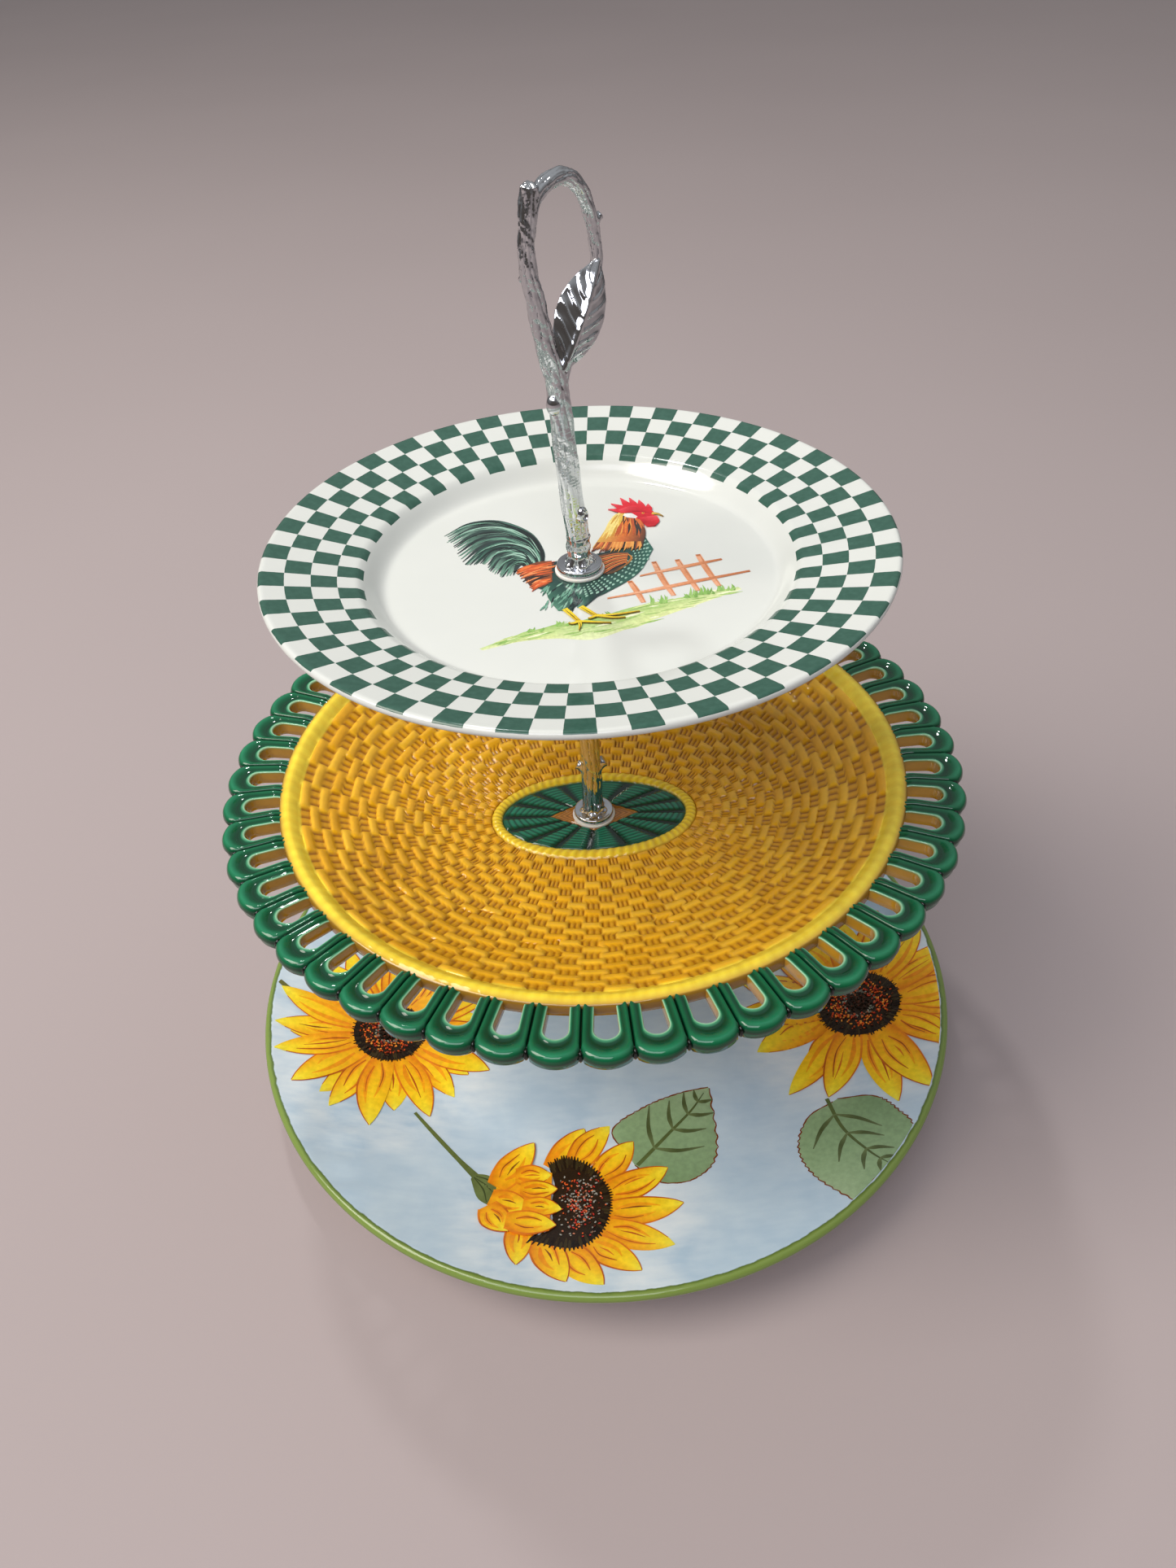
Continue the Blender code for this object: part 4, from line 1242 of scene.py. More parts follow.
            self.petal(work, root, tip, width, draw)
        return work.piece("painted_sunflower_side")

    def leaves(self) -> Piece:
        """Paint the stems and sage leaves with their veins and saw-edged outlines."""
        work, draw = self.brush(0.035), random.Random(2)
        sage = [("#9cb98c", "#86a579"), ("#8fae80", "#7c9c70")]
        sage += [("#94b386", "#87a67b"), ("#a4bd94", "#8cab80")]
        stem, vein, brown = "#5b6b3b", "#4c5a34", "#7a3d22"
        leaves = (
            (
                [(6, -80), (0, -68), (13, -58.5), (27, -53), (40, -50.5)],
                [(8, -84), (17, -92.5), (30, -92.5), (40, -81), (40.5, -51)],
                [(9, -84), (22, -71), (32, -61), (38, -53)],
            ),
            (
                [(88, -64), (77, -70), (71, -84), (74, -98), (85, -113)],
                [(90, -63), (103, -65), (110, -74), (112, -88), (87, -112)],
                [(86, -62), (89, -78), (96, -92), (101, -99)],
            ),
            (
                [(8, 96), (-4, 98), (-12, 108), (-14, 120), (-10, 132)],
                [(10, 98), (14, 108), (10, 120), (0, 128), (-9, 133)],
                [(9, 98), (3, 108), (-4, 119), (-9, 130)],
            ),
        )
        for upper, lower, rib in leaves:
            work.fill(upper, lower, sage, 34)
            for edge in (upper, lower):
                line = follow(edge, 46)
                teeth = []
                for n, spot in enumerate(line):
                    rough = 0.75 if 14 < n < 44 else 0.1
                    teeth.append(spot + np.array([rough if n % 2 else -rough, 0.4 * rough]) * 0.6)
                for n in range(0, 45, 5):
                    work.stroke(teeth[n : n + 6], (0.4, 0.7, 0.4), [brown])
            spine = follow(rib, 24)
            work.stroke(rib, (1.6, 1.3, 0.9, 0.3), [stem, vein])
            for n in range(4):
                base = spine[4 + 5 * n]
                way = spine[min(4 + 5 * n + 3, 23)] - spine[1 + 5 * n]
                way = way / np.linalg.norm(way)
                for sign in (-1, 1):
                    across = np.array([-way[1], way[0]]) * sign
                    reach = (17.5 - 3.9 * n) * draw.uniform(0.9, 1.05)
                    line = [base, base + way * reach * 0.3 + across * reach * 0.42]
                    line.append(base + way * reach * 0.74 + across * reach * 0.78)
                    work.stroke(line, (0.7, 1.9, 1.4, 0.4), ["#6c7d50", vein, "#61704a"])
        work.stroke([(-79, -56), (-70, -67), (-60, -79), (-53, -87)], (1.3, 1.7, 1.9, 3.0), ["#64733c", stem])
        cup_top, cup_foot = [(-54, -85.5), (-49, -86), (-44, -89)], [(-55, -88), (-52, -97), (-47, -101)]
        work.fill(cup_top, cup_foot, [stem, "#6c7d48", stem], 10)
        for line in (
            [(-54, -87), (-49, -91), (-46, -95)],
            [(-54, -87), (-50, -93), (-48.5, -99)],
            [(-53, -86.5), (-49, -88), (-45.5, -90)],
        ):
            work.stroke(line, (0.3, 0.7, 0.3), ["#3d4a2a"])
        work.stroke([(-140.5, 5), (-130, -3), (-119, -10)], (2.0, 2.4, 1.6), ["#6a6a34", stem])
        work.stroke([(24, 88), (34, 96), (46, 101)], (2.6, 1.8, 1.4), [stem])
        return work.piece("painted_leaves_and_stems")


# ---------------- middle tier


@dataclass
class MiddleTier:
    """Majolica dish: basket weave, rope edges, a green medallion and an openwork border."""

    bricks: int = 32
    steps: int = 576  # points round each ring, eighteen to a brick and its gap
    weave_rows: int = 21
    loops: int = 52
    rise: float = 27.0
    well: float = 34.0
    rope: float = 109.5
    thickness: float = 5.5
    foot_height: float = 4.5
    foot_outer: float = 53.0
    foot_inner: float = 48.0
    hole: float = 4.0
    tip: float = 133.0

    def __post_init__(self) -> None:
        """Read where the dish's face lies from the frame."""
        low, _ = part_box("middle_plate")
        self.face = low.z / MM + self.foot_height + self.thickness
        self.angles = np.arange(self.steps) * TURN / self.steps

    def build(self) -> None:
        """Make the dish and its border, and dress them."""
        # Lead glaze pools in the hollows, and waves slowly over 4 mm.
        glaze = FiredGlaze(
            name="majolica_glaze", mottle_mm=7.0, mottle=0.14, wave_mm=4.0, wave=0.09, roughness=0.06
        ).material()
        hand_over(self.dish(), Body.MIDDLE_TIER, glaze, ["middle_plate"], 70)
        hand_over(self.border(), Body.MIDDLE_TIER, glaze, (), 60)

    def height(self, radius: np.ndarray) -> np.ndarray:
        """Return the height of the dish's upper face at a radius."""
        out = np.clip((radius - self.well) / (self.rope - self.well), 0, 1)
        return self.face + self.rise * out**1.7

    def oval(self, half_x: float, half_y: float) -> np.ndarray:
        """Return the points of an oval ring."""
        return np.stack([half_x * np.cos(self.angles), half_y * np.sin(self.angles)], 1)

    def diamond(self, half_x: float, half_y: float) -> np.ndarray:
        """Return the points of a diamond ring."""
        c, s = np.cos(self.angles), np.sin(self.angles)
        total = (np.abs(c) + np.abs(s))[:, None]
        return np.stack([half_x * c, half_y * s], 1) / total

    def dish(self) -> Piece:
        """Make the woven dish, ring by ring, and close it underneath."""
        # The radial strands spread from the oval, so they stand wider at the dish's two ends.
        fan = self.angles + 0.1 * np.sin(2 * self.angles)
        outer = np.stack([np.cos(fan), np.sin(fan)], 1)
        keys = [self.oval(4, 4), self.diamond(17, 9), self.oval(34.7, 19), self.oval(39, 24.3)]
        keys += [106 * outer, 112 * outer]
        rings, colours = [], []
        zones = (
            (self.diamond_zone, np.linspace(0, 1, 13)[:-1]),
            (self.medallion_zone, np.linspace(0, 1, 28)[:-1]),
            (self.rope_zone, np.linspace(0, 1, 9)),
            (self.weave_zone, self.weave_shares()),
            (self.edge_zone, np.linspace(0, 1, 9)),
        )
        for n, (zone, shares) in enumerate(zones):
            for share in shares:
                plan = keys[n] * (1 - share) + keys[n + 1] * share
                if zone == self.weave_zone:
                    plan = self.hand_sway(plan, share)
                relief, tone = zone(share)
                ground = self.height(np.linalg.norm(plan, axis=1))
                rings.append(np.column_stack([plan, ground + relief]))
                colours.append(tone)
        gold, cream = hues("#8f6a1f")[0], hues("#b98a2c")[0]
        lip = self.face + self.rise
        under = [(112.6, lip + 0.1), (112.9, lip - 0.8), (112.9, lip - 4.2), (112.2, lip - 5.0)]
        for radius in (106, 98, 90, 82, 74, 66, 60, 56, 53.6):
            clay = self.thickness - 0.5 * float(ease(radius, self.well, 111.9))
            under.append((radius, float(self.height(np.array(radius))) - clay))
        flat = self.face - self.thickness
        foot = flat - self.foot_height
        out, inn, hole = self.foot_outer, self.foot_inner, self.hole
        under += [(out, flat - 0.2), (out, foot + 0.7), (out - 0.7, foot), (inn + 0.7, foot)]
        under += [(inn, foot + 0.7), (inn, flat - 0.3), (inn - 0.8, flat), (30.0, flat)]
        under += [(hole + 0.4, flat), (hole, flat + 0.4), (hole, self.face - 0.4)]
        for n, (radius, level) in enumerate(under):
            rings.append(np.column_stack([radius * outer, np.full(self.steps, level)]))
            colours.append(np.tile(gold if n < 4 else cream, (self.steps, 1)))
        points = np.concatenate(rings)
        faces = grid_faces(len(rings), self.steps, True, True)
        piece = mesh_piece("woven_dish", points, faces)
        lay_colour(piece, np.concatenate(colours))
        return face_out(piece)

    def diamond_zone(self, share: float) -> tuple[np.ndarray, np.ndarray]:
        """Return relief and colour of the ochre diamond, ridged along its sides.

        Args:
            share: Place from the zone's inner edge to its outer edge.

        Returns:
            Height over the dish's face, and colour, at each point.
        """
        ridge = abs(math.sin(math.pi * 6 * share))
        relief = np.full(self.steps, 0.15 + 0.3 * ridge)
        ochre, dark = hues("#bd8030", "#6a4214")
        tone = dark + (ochre - dark) * min(1.0, 0.25 + ridge)
        return relief, np.tile(tone, (self.steps, 1))

    def medallion_zone(self, share: float) -> tuple[np.ndarray, np.ndarray]:
        """Return relief and colour of the green weave with its dark stakes.

        Args:
            share: Place from the zone's inner edge to its outer edge.

        Returns:
            Height over the dish's face, and colour, at each point.
        """
        sway = 0.22 * np.sin(3 * self.angles) + 0.25 * (share - 0.5)
        stake = np.abs(np.sin(8 * self.angles + sway + 0.3))
        swell = ease(stake, 0.1, 0.85)
        rib = np.abs(np.sin(math.pi * 9.0 * share)) ** 0.8
        relief = 0.12 + 0.4 * swell + 0.26 * rib * swell
        deep, mid, light = hues("#10231c", "#0f5a42", "#2d9070")
        strength = (swell * (0.25 + 0.75 * rib))[:, None]
        tone = deep + (mid - deep) * np.minimum(strength * 1.6, 1)
        tone = tone + (light - tone) * np.clip(strength * 1.7 - 1.0, 0, 1)
        near_rim = ease(share, 0.86, 1.0) * 0.8
        tone = tone + (hues("#0b3a2b")[0] - tone) * near_rim
        start = 1 - ease(share, 0.0, 0.05)
        return relief, tone + (hues("#14251c")[0] - tone) * start

    def rope_zone(self, share: float) -> tuple[np.ndarray, np.ndarray]:
        """Return relief and colour of the yellow rope round the medallion.

        Args:
            share: Place from the zone's inner edge to its outer edge.

        Returns:
            Height over the dish's face, and colour, at each point.
        """
        twist = 0.5 + 0.5 * np.sin(70 * self.angles + 3.2 * share)
        dome = math.sin(math.pi * share) ** 0.6 if 0 < share < 1 else 0.0
        relief = dome * (1.25 + 0.4 * twist)
        low, high = hues("#d6a926", "#f6dc3c")
        tone = low + (high - low) * (0.35 + 0.65 * twist)[:, None]
        if share == 0.0:
            tone = np.tile(hues("#27583a")[0], (self.steps, 1))
        if share == 1.0:
            tone = np.tile(hues("#b98420")[0], (self.steps, 1))
        return relief, tone

    def hand_sway(self, plan: np.ndarray, share: float) -> np.ndarray:
        """Let a woven row wander a little, as rows laid by hand do.

        Args:
            plan: Points of the ring.
            share: Place from the medallion's rope to the outer rope.

        Returns:
            The moved points.
        """
        row = int(share * self.weave_rows)
        calm = math.sin(math.pi * min(max(share, 0.0), 1.0)) ** 0.5
        turn = 0.010 * np.sin(7 * self.angles + 1.9 * row) + 0.008 * np.sin(13 * self.angles + 2.7 * row)
        swell = 0.0035 * np.sin(11 * self.angles + 0.9 * row) + 0.003 * np.sin(17 * self.angles + 5 * share)
        c, s = np.cos(turn * calm), np.sin(turn * calm)
        moved = np.stack([plan[:, 0] * c - plan[:, 1] * s, plan[:, 0] * s + plan[:, 1] * c], 1)
        return moved * (1 + swell * calm)[:, None]

    def weave_shares(self) -> list[float]:
        """Return where the weave's rings lie, four to each woven row."""
        places = (0.04, 0.2, 0.5, 0.8)
        return [(row + place) / self.weave_rows for row in range(self.weave_rows) for place in places]

    def weave_zone(self, share: float) -> tuple[np.ndarray, np.ndarray]:
        """Return relief and colour of the basket weave at one ring.

        Args:
            share: Place from the medallion's rope to the outer rope.

        Returns:
            Height over the dish's face, and colour, at each point.
        """
        row = min(int(share * self.weave_rows), self.weave_rows - 1)
        across = share * self.weave_rows - row
        crown = 1 - abs(2 * across - 1) ** 5
        step = np.arange(self.steps) + (9 if row % 2 else 0)
        spot, brick = step % 18, (step // 18) % self.bricks
        draw = np.random.default_rng(700 + row)
        tilt = draw.uniform(-0.14, 0.14, self.bricks + 1)[brick]
        shade = draw.uniform(0.0, 1.0, self.bricks + 1)[brick]
        # Each strand lies over eleven points, then dips under two radial strands.
        over = np.array([0.72, 0.93] + [1.0] * 7 + [0.93, 0.72] + [0.0] * 7)[spot]
        strand = np.array([0.0] * 11 + [0.0, 0.9, 0.9, 0.0, 0.9, 0.9, 0.0])[spot]
        top = (0.35 + 0.75 * crown) * (1 + tilt * (spot - 5) / 5)
        relief = over * top + strand * (0.2 + 0.2 * crown) - 0.12 * (over + strand < 0.1)
        pit, seam, amber, bright = hues("#9a5f0a", "#c28a14", "#e6aa1a", "#f3c032")
        body = amber + (bright - amber) * (shade * 0.8)[:, None]
        depth = (over * crown)[:, None]
        tone = seam + (body - seam) * np.clip(depth * 1.8, 0, 1)
        under = seam + (amber - seam) * 0.75 * crown
        tone = tone + (under - tone) * strand[:, None]
        return relief, tone + (pit - tone) * (over + strand < 0.1)[:, None]

    def edge_zone(self, share: float) -> tuple[np.ndarray, np.ndarray]:
        """Return relief and colour of the flowing yellow rope at the dish's edge.

        Args:
            share: Place from the zone's inner edge to its outer edge.

        Returns:
            Height over the dish's face, and colour, at each point.
        """
        twist = 0.5 + 0.5 * np.sin(156 * self.angles + 2.6 * share)
        slow = 0.5 + 0.3 * np.sin(9 * self.angles) + 0.2 * np.sin(31 * self.angles + 1.0)
        dome = math.sin(math.pi * (0.06 + 0.88 * share)) ** 0.7
        relief = dome * (1.0 + 0.12 * twist + 0.3 * slow) - 0.1
        low, high = hues("#e6bf2c", "#f7e044")
        tone = low + (high - low) * (0.3 + 0.4 * twist + 0.3 * slow)[:, None]
        worn = ease(share, 0.8, 1.0) * 0.75
        return relief, tone + (hues("#c79a3c")[0] - tone) * worn

    def loop_lines(self) -> tuple[np.ndarray, np.ndarray, np.ndarray]:
        """Lay out one loop of the border round its slot.

        Returns:
            The slot's edge, the loop's outer edge, and how far each station is round the tip.
        """
        half = math.pi / self.loops
        leg = np.linspace(111.4, 121.1, 10)
        width = 3.2 + 0.5 * (leg - 113.0) / 8.1
        down = np.column_stack([leg, -width])
        bend = np.radians(np.linspace(-90, 90, 21))[1:-1]
        arch = np.column_stack([121.1 + 3.7 * np.cos(bend), 3.7 * np.sin(bend)])
        slot = np.vstack([down, arch, (down * (1, -1))[::-1]])
        radius = np.linspace(111.4, 128.6, 12)
        side = np.column_stack([radius * math.cos(half), -radius * math.sin(half)])
        swing = np.linspace(-1, 1, 17)[1:-1]
        bulge = np.cos(swing * math.pi / 2) ** 0.62
        rim = 129.3 + (self.tip - 129.3) * bulge
        scallop = np.column_stack([rim * np.cos(swing * half), rim * np.sin(swing * half)])
        outer = np.vstack([side, scallop, (side * (1, -1))[::-1]])
        roundness = np.concatenate([np.zeros(11), [0.35], np.full(15, 1.0), [0.35], np.zeros(11)])
        roundness[12:27] = np.cos(np.abs(swing) * math.pi / 2) ** 0.35
        return slot, outer, roundness

    def border(self) -> Piece:
        """Make one glazed loop, and set it round the dish with a black bead of painted shadow at every notch.
        """
        slot, outer, tipward = self.loop_lines()
        top = self.face + self.rise - 0.3
        shares = [0.0, 0.05, 0.12, 0.2, 0.32, 0.44, 0.56, 0.68, 0.8, 0.9, 0.97, 1.0]
        legs = [0.1, 0.5, 0.6, 0.62, 0.68, 0.84, 1.04, 1.22, 1.24, 0.95, 0.3, -0.5]
        tips = [0.3, 0.95, 1.0, 0.6, 0.25, 0.45, 1.1, 1.6, 1.6, 1.1, 0.2, -1.1]
        # Glaze colours across a loop from the slot's edge outwards, dark green where the glaze pools in the
        # channel; on the legs the last two, near black, are painted shade in the groove where neighbouring
        # loops meet.
        tones = hues(
            "#8f8a4a", "#a4d6b0", "#4f9c74", "#0f6040", "#064328", "#06482c",
            "#095636", "#0e643f", "#0c5d3a", "#07462a", "#05281a", "#020d08",
        )
        tip_tones = hues(
            "#8f8a4a", "#a4d6b0", "#45936b", "#074229", "#05341f", "#07462b",
            "#0b5d3b", "#17704c", "#227c56", "#136a43", "#0a5131", "#073d26",
        )
        # The legs dive under the rope at their inner ends.
        dive = 0.75 * (1 - ease(np.linalg.norm(slot, axis=1), 111.6, 114.4))
        rows = [np.column_stack([slot * (1 - s) + outer * s, top + l + (t - l) * tipward - dive])
                for s, l, t in zip(shares, legs, tips)]
        paints = [a + (b - a) * tipward[:, None] for a, b in zip(tones, tip_tones)]
        amber, ochre = "#b5882a", "#9a7a2c"
        round_under = [(1.004, -2.6, "#0f6341"), (1.0, -3.9, "#0a4630"), (0.93, -4.8, "#3d4a22")]
        round_under += [(0.5, -5.0, ochre), (0.12, -5.0, ochre), (0.02, -4.6, amber)]
        round_under += [(0.0, -2.4, amber), (0.0, -0.4, amber)]
        for share, level, tone in round_under:
            line = between(slot, outer, share)
            if share > 0.9:
                line = np.minimum(line * (0.994, 1.0), self.tip)
            rows.append(np.column_stack([line, np.full(len(slot), top + level)]))
            paints.append(np.tile(hues(tone)[0], (len(slot), 1)))
        grid = np.stack(rows, axis=1)
        faces = tube_faces(*grid.shape[:2])
        cell, paint = grid.reshape(-1, 3), np.stack(paints, axis=1).reshape(-1, 3)
        points, every, colours = [], [], []
        for n in range(self.loops):
            turn = np.array(Matrix.Rotation(TURN * n / self.loops, 3, "Z"))
            points.append(cell @ turn.T)
            every += [[k + n * len(cell) for k in face] for face in faces]
            colours.append(paint)
        loops = mesh_piece("openwork_border", np.concatenate(points), every)
        lay_colour(loops, np.concatenate(colours))
        face_out(loops, 1e-7)
        notch_shadows = self.notch_shadows(top)
        return join("openwork_border", loops, notch_shadows)

    def notch_shadows(self, top: float) -> Piece:
        """Make black drops that fill the notches between loops: painted shadow, standing in for the shade in
        the notches.

        Args:
            top: Height of the border's upper face.

        Returns:
            The black drops of painted shadow, as one piece.
        """
        notch_shadow_drops = []
        for n in range(self.loops):
            deselect()
            bpy.ops.mesh.primitive_uv_sphere_add(segments=10, ring_count=7, radius=1.0 * MM)
            notch_shadow_drop = name_piece("notch_shadow_drop")
            angle = TURN * (n + 0.5) / self.loops
            place = Vector((129.1 * math.cos(angle), 129.1 * math.sin(angle), top - 1.5)) * MM
            shape = Matrix.Diagonal((1.5, 0.85, 2.2, 1.0))
            notch_shadow_drop.data.transform(Matrix.Translation(place) @ Matrix.Rotation(angle, 4, "Z") @ shape)
            notch_shadow_drops.append(notch_shadow_drop)
        made = join("notch_shadow_drops", *notch_shadow_drops)
        # Near black: painted shadow in the notches.
        lay_colour(made, hues("#0d120c")[0])
        return made


# ---------------- chrome castings


@dataclass
class Twig:
    """A bark-covered bar along a bent line."""

    line: np.ndarray
    radii: np.ndarray
    sides: int = 24

    @classmethod
    def through(cls, keys: Sequence, radii: Sequence[float], stations: int) -> "Twig":
        """Lay a twig through key points with a radius at each."""
        return cls(follow(keys, stations), follow([[r] for r in radii], stations)[:, 0])

    def frames(self) -> tuple[np.ndarray, np.ndarray, np.ndarray]:
        """Return way, side and front at each station, turning as little as they can."""
        way = np.gradient(self.line, axis=0)
        way /= np.linalg.norm(way, axis=1, keepdims=True)
        side = np.zeros_like(way)
        guide = np.array([1.0, 0.0, 0.0])
        for n, ahead in enumerate(way):
            guide = guide - ahead * (guide @ ahead)
            guide = guide / np.linalg.norm(guide)
            side[n] = guide
        return way, side, np.cross(way, side)

    def piece(self, name: str) -> Piece:
        """Make the plain bar, closed at both ends.

        Args:
            name: Name of the bar.

        Returns:
            The bar.
        """
        _, side, front = self.frames()
        turn = np.arange(self.sides) * TURN / self.sides
        ring = side[:, None] * np.cos(turn)[None, :, None] + front[:, None] * np.sin(turn)[None, :, None]
        points = self.line[:, None] + ring * self.radii[:, None, None]
        faces = tube_faces(len(self.line), self.sides)
        return face_out(mesh_piece(name, points.reshape(-1, 3), faces))

    def nearest(self, points: np.ndarray) -> tuple[np.ndarray, np.ndarray, np.ndarray]:
        """Find each point's place on the twig.

        Args:
            points: Points in millimetres.

        Returns:
            Station number, angle round the bar, and distance from its line over its radius.
        """
        station = np.zeros(len(points), int)
        for low in range(0, len(points), 20000):
            part = points[low : low + 20000]
            gap = np.linalg.norm(part[:, None] - self.line[None], axis=2)
            station[low : low + 20000] = gap.argmin(1)
        _, side, front = self.frames()
        off = points - self.line[station]
        angle = np.arctan2((off * front[station]).sum(1), (off * side[station]).sum(1))
        return station, angle, np.linalg.norm(off, axis=1) / self.radii[station]


def bark(angle: np.ndarray, run: np.ndarray, grooves: int, seed: float) -> np.ndarray:
    """Carve long furrows, lumps and cross cracks into bark.

    Args:
        angle: Angle round the bar.
        run: Distance along it, in millimetres.
        grooves: Number of furrows round the bar.
        seed: Shifts the pattern.

    Returns:
        Height over the plain bar, in millimetres.
    """
    sway = 0.6 * np.sin(run / 6.3 + seed) + 0.4 * np.sin(run / 3.4 + 2 * seed)
    first = np.abs(np.sin(grooves * angle / 2 + sway))
    second = np.abs(np.sin((grooves + 3) * angle / 2 - 1.3 * sway + run / 9.0 + seed))
    lumps = np.sin(2 * angle + run / 4.1 + seed) * np.sin(run / 4.7 + angle)
    furrow = (1 - first) ** 2.5 + 0.5 * (1 - second) ** 3
    return 0.3 * lumps - 0.5 * furrow + 0.05 * np.sin(run * 1.3 + 3 * angle + 2 * np.sin(angle + run / 3))


@dataclass
class Castings:
    """The chrome twig posts and the lifting handle with its leaf."""

    shaft: float = 3.8
    bore: float = 2.7
    bore_depth: float = 9.0
    flange: float = 7.4
    flange_thickness: float = 1.9
    voxel: float = 0.00032

    def build(self) -> None:
        """Make posts and handle, and dress them."""
        # Chrome over a polished zinc casting: mirror bright, with slow 2 mm ripples.
        chrome = BareMetal(
            name="chromed_zinc_casting", hue="#d2d4d6", worn_hue="#b9bcbf", roughness=0.05,
            wave_mm=2.0, wave=0.014,
        ).material()
        lower = [(24.0, 15, 1.8), (21.0, 185, 1.5), (68.0, 100, 1.8)]
        upper = [(21.5, 10, 1.9), (20.5, 172, 1.5), (66.0, 260, 1.8)]
        for name, knots, body, seed in (
            ("lower_post", lower, Body.LOWER_COLUMN, 0.4),
            ("upper_post", upper, Body.UPPER_COLUMN, 2.1),
        ):
            hand_over(self.post(name, knots, seed), body, chrome, [name], 60)
        hand_over(self.handle(), Body.HANDLE_GRIP, chrome, ["handle"], 60)

    def foot(self, name: str, level: float) -> Piece:
        """Turn a polished flange with rounded edges, bored through.

        Args:
            name: Name of the flange.
            level: Height of its under face.

        Returns:
            The flange.
        """
        top, low = level + self.flange_thickness, level
        outline = [(self.bore, low + 0.1), (self.flange - 0.5, low), (self.flange - 0.15, low + 0.12)]
        outline += [(self.flange, low + 0.45), (self.flange, top - 0.7), (self.flange - 0.12, top - 0.3)]
        outline += [(self.flange - 0.4, top - 0.05), (self.flange - 0.9, top), (5.6, top - 0.02)]
        outline += [(4.6, top + 0.25), (3.2, top + 0.4), (self.bore, top + 0.4)]
        return spin_outline(name, outline, 72, True)

    def bored_shaft(self, name: str, level: float, high: float, bored_top: bool) -> Piece:
        """Turn a shaft with a flared root, bored for the stud below and perhaps above.

        Args:
            name: Name of the shaft.
            level: Height of the flange's under face.
            high: Height of the shaft's top.
            bored_top: Whether the top is bored too.

        Returns:
            The shaft.
        """
        floor = level + self.bore_depth
        shares = np.linspace(0.0, 1.0, 60)
        side = []
        for share in shares:
            z = level + self.flange_thickness - 0.2 + share * (high - level - self.flange_thickness - 0.2)
            flare = 1.25 * math.exp(-(z - level - self.flange_thickness) / 1.1)
            side.append((self.shaft + 0.2 * math.sin(share * 4.3 * math.pi) + flare, z))
        outline = [(0.0, floor), (self.bore, floor), (self.bore, level + self.flange_thickness - 0.2)] + side
        outline += [(self.shaft - 0.4, high)]
        if bored_top:
            outline += [(self.bore, high), (self.bore, high - 10.5), (0.0, high - 10.5)]
        else:
            outline += [(0.0, high)]
        return spin_outline(name, outline, 48, False)

    def knot(self, centre: Sequence[float], azimuth: float, size: float, reach: float) -> Piece:
        """Make a cut side shoot: a short stub with a swollen ring and a dimple.

        Args:
            centre: Point of the bar's line that it grows from.
            azimuth: Direction it faces, in degrees.
            size: Its thickness.
            reach: How far it stands out.

        Returns:
            The stub.
        """
        turn, lift = math.radians(azimuth), math.radians(30)
        out = np.array([math.cos(turn) * math.cos(lift), math.sin(turn) * math.cos(lift), math.sin(lift)])
        shares = (0.1, 0.5, 0.75, 0.92, 1.0, 0.97, 0.9)
        keys = [np.array(centre, float) + out * reach * s for s in shares]
        radii = [size * k for k in (1.9, 1.5, 1.2, 1.2, 0.95, 0.6, 0.35)]
        return Twig.through(keys, radii, 24).piece("knot")

    def boss(self, centre: np.ndarray, azimuth: float, reach: float) -> Piece:
        """Turn the polished ring and dimple of a healed knot, and set it on the bark.

        Args:
            centre: Point of the bar's line that it stands out from.
            azimuth: Direction it faces, in degrees.
            reach: Distance from that point to its middle.

        Returns:
            The knot.
        """
        outline = [(0.0, 0.25), (0.35, 0.2), (0.6, -0.05), (0.8, 0.1), (1.05, 0.5), (1.25, 0.45)]
        outline += [(1.45, 0.1), (1.5, -0.9), (0.0, -0.9)]
        made = spin_outline("boss", outline, 32, False)
        turn = math.radians(azimuth)
        out = Vector((math.cos(turn), math.sin(turn), 0.15)).normalized()
        facing = out.to_track_quat("Z", "Y").to_matrix().to_4x4()
        place = Matrix.Translation((Vector(centre) + out * reach) * MM)
        made.data.transform(place @ facing @ Matrix.Diagonal((1.25, 1.8, 1.3, 1.0)))
        return made

    def bump(self, centre: np.ndarray, azimuth: float, reach: float) -> Piece:
        """Make a smooth swelling on the bark, where a shoot never grew.

        Args:
            centre: Point of the bar's line that it stands out from.
            azimuth: Direction it faces, in degrees.
            reach: Distance from that point to its middle.

        Returns:
            The swelling.
        """
        deselect()
        bpy.ops.mesh.primitive_uv_sphere_add(segments=32, ring_count=18, radius=MM)
        made = name_piece("bump")
        turn = math.radians(azimuth)
        place = Vector(centre) + Vector((math.cos(turn), math.sin(turn), 0.0)) * reach
        made.data.transform(Matrix.Translation(place * MM) @ Matrix.Diagonal((2.3, 2.3, 3.3, 1.0)))
        return made

    def fuse(self, name: str, *pieces: Piece) -> Piece:
        """Melt several closed pieces into one even skin."""
        made = join(name, *pieces)
        apply_modifier(made, "REMESH", mode="VOXEL", voxel_size=self.voxel, adaptivity=0.0)
        return made

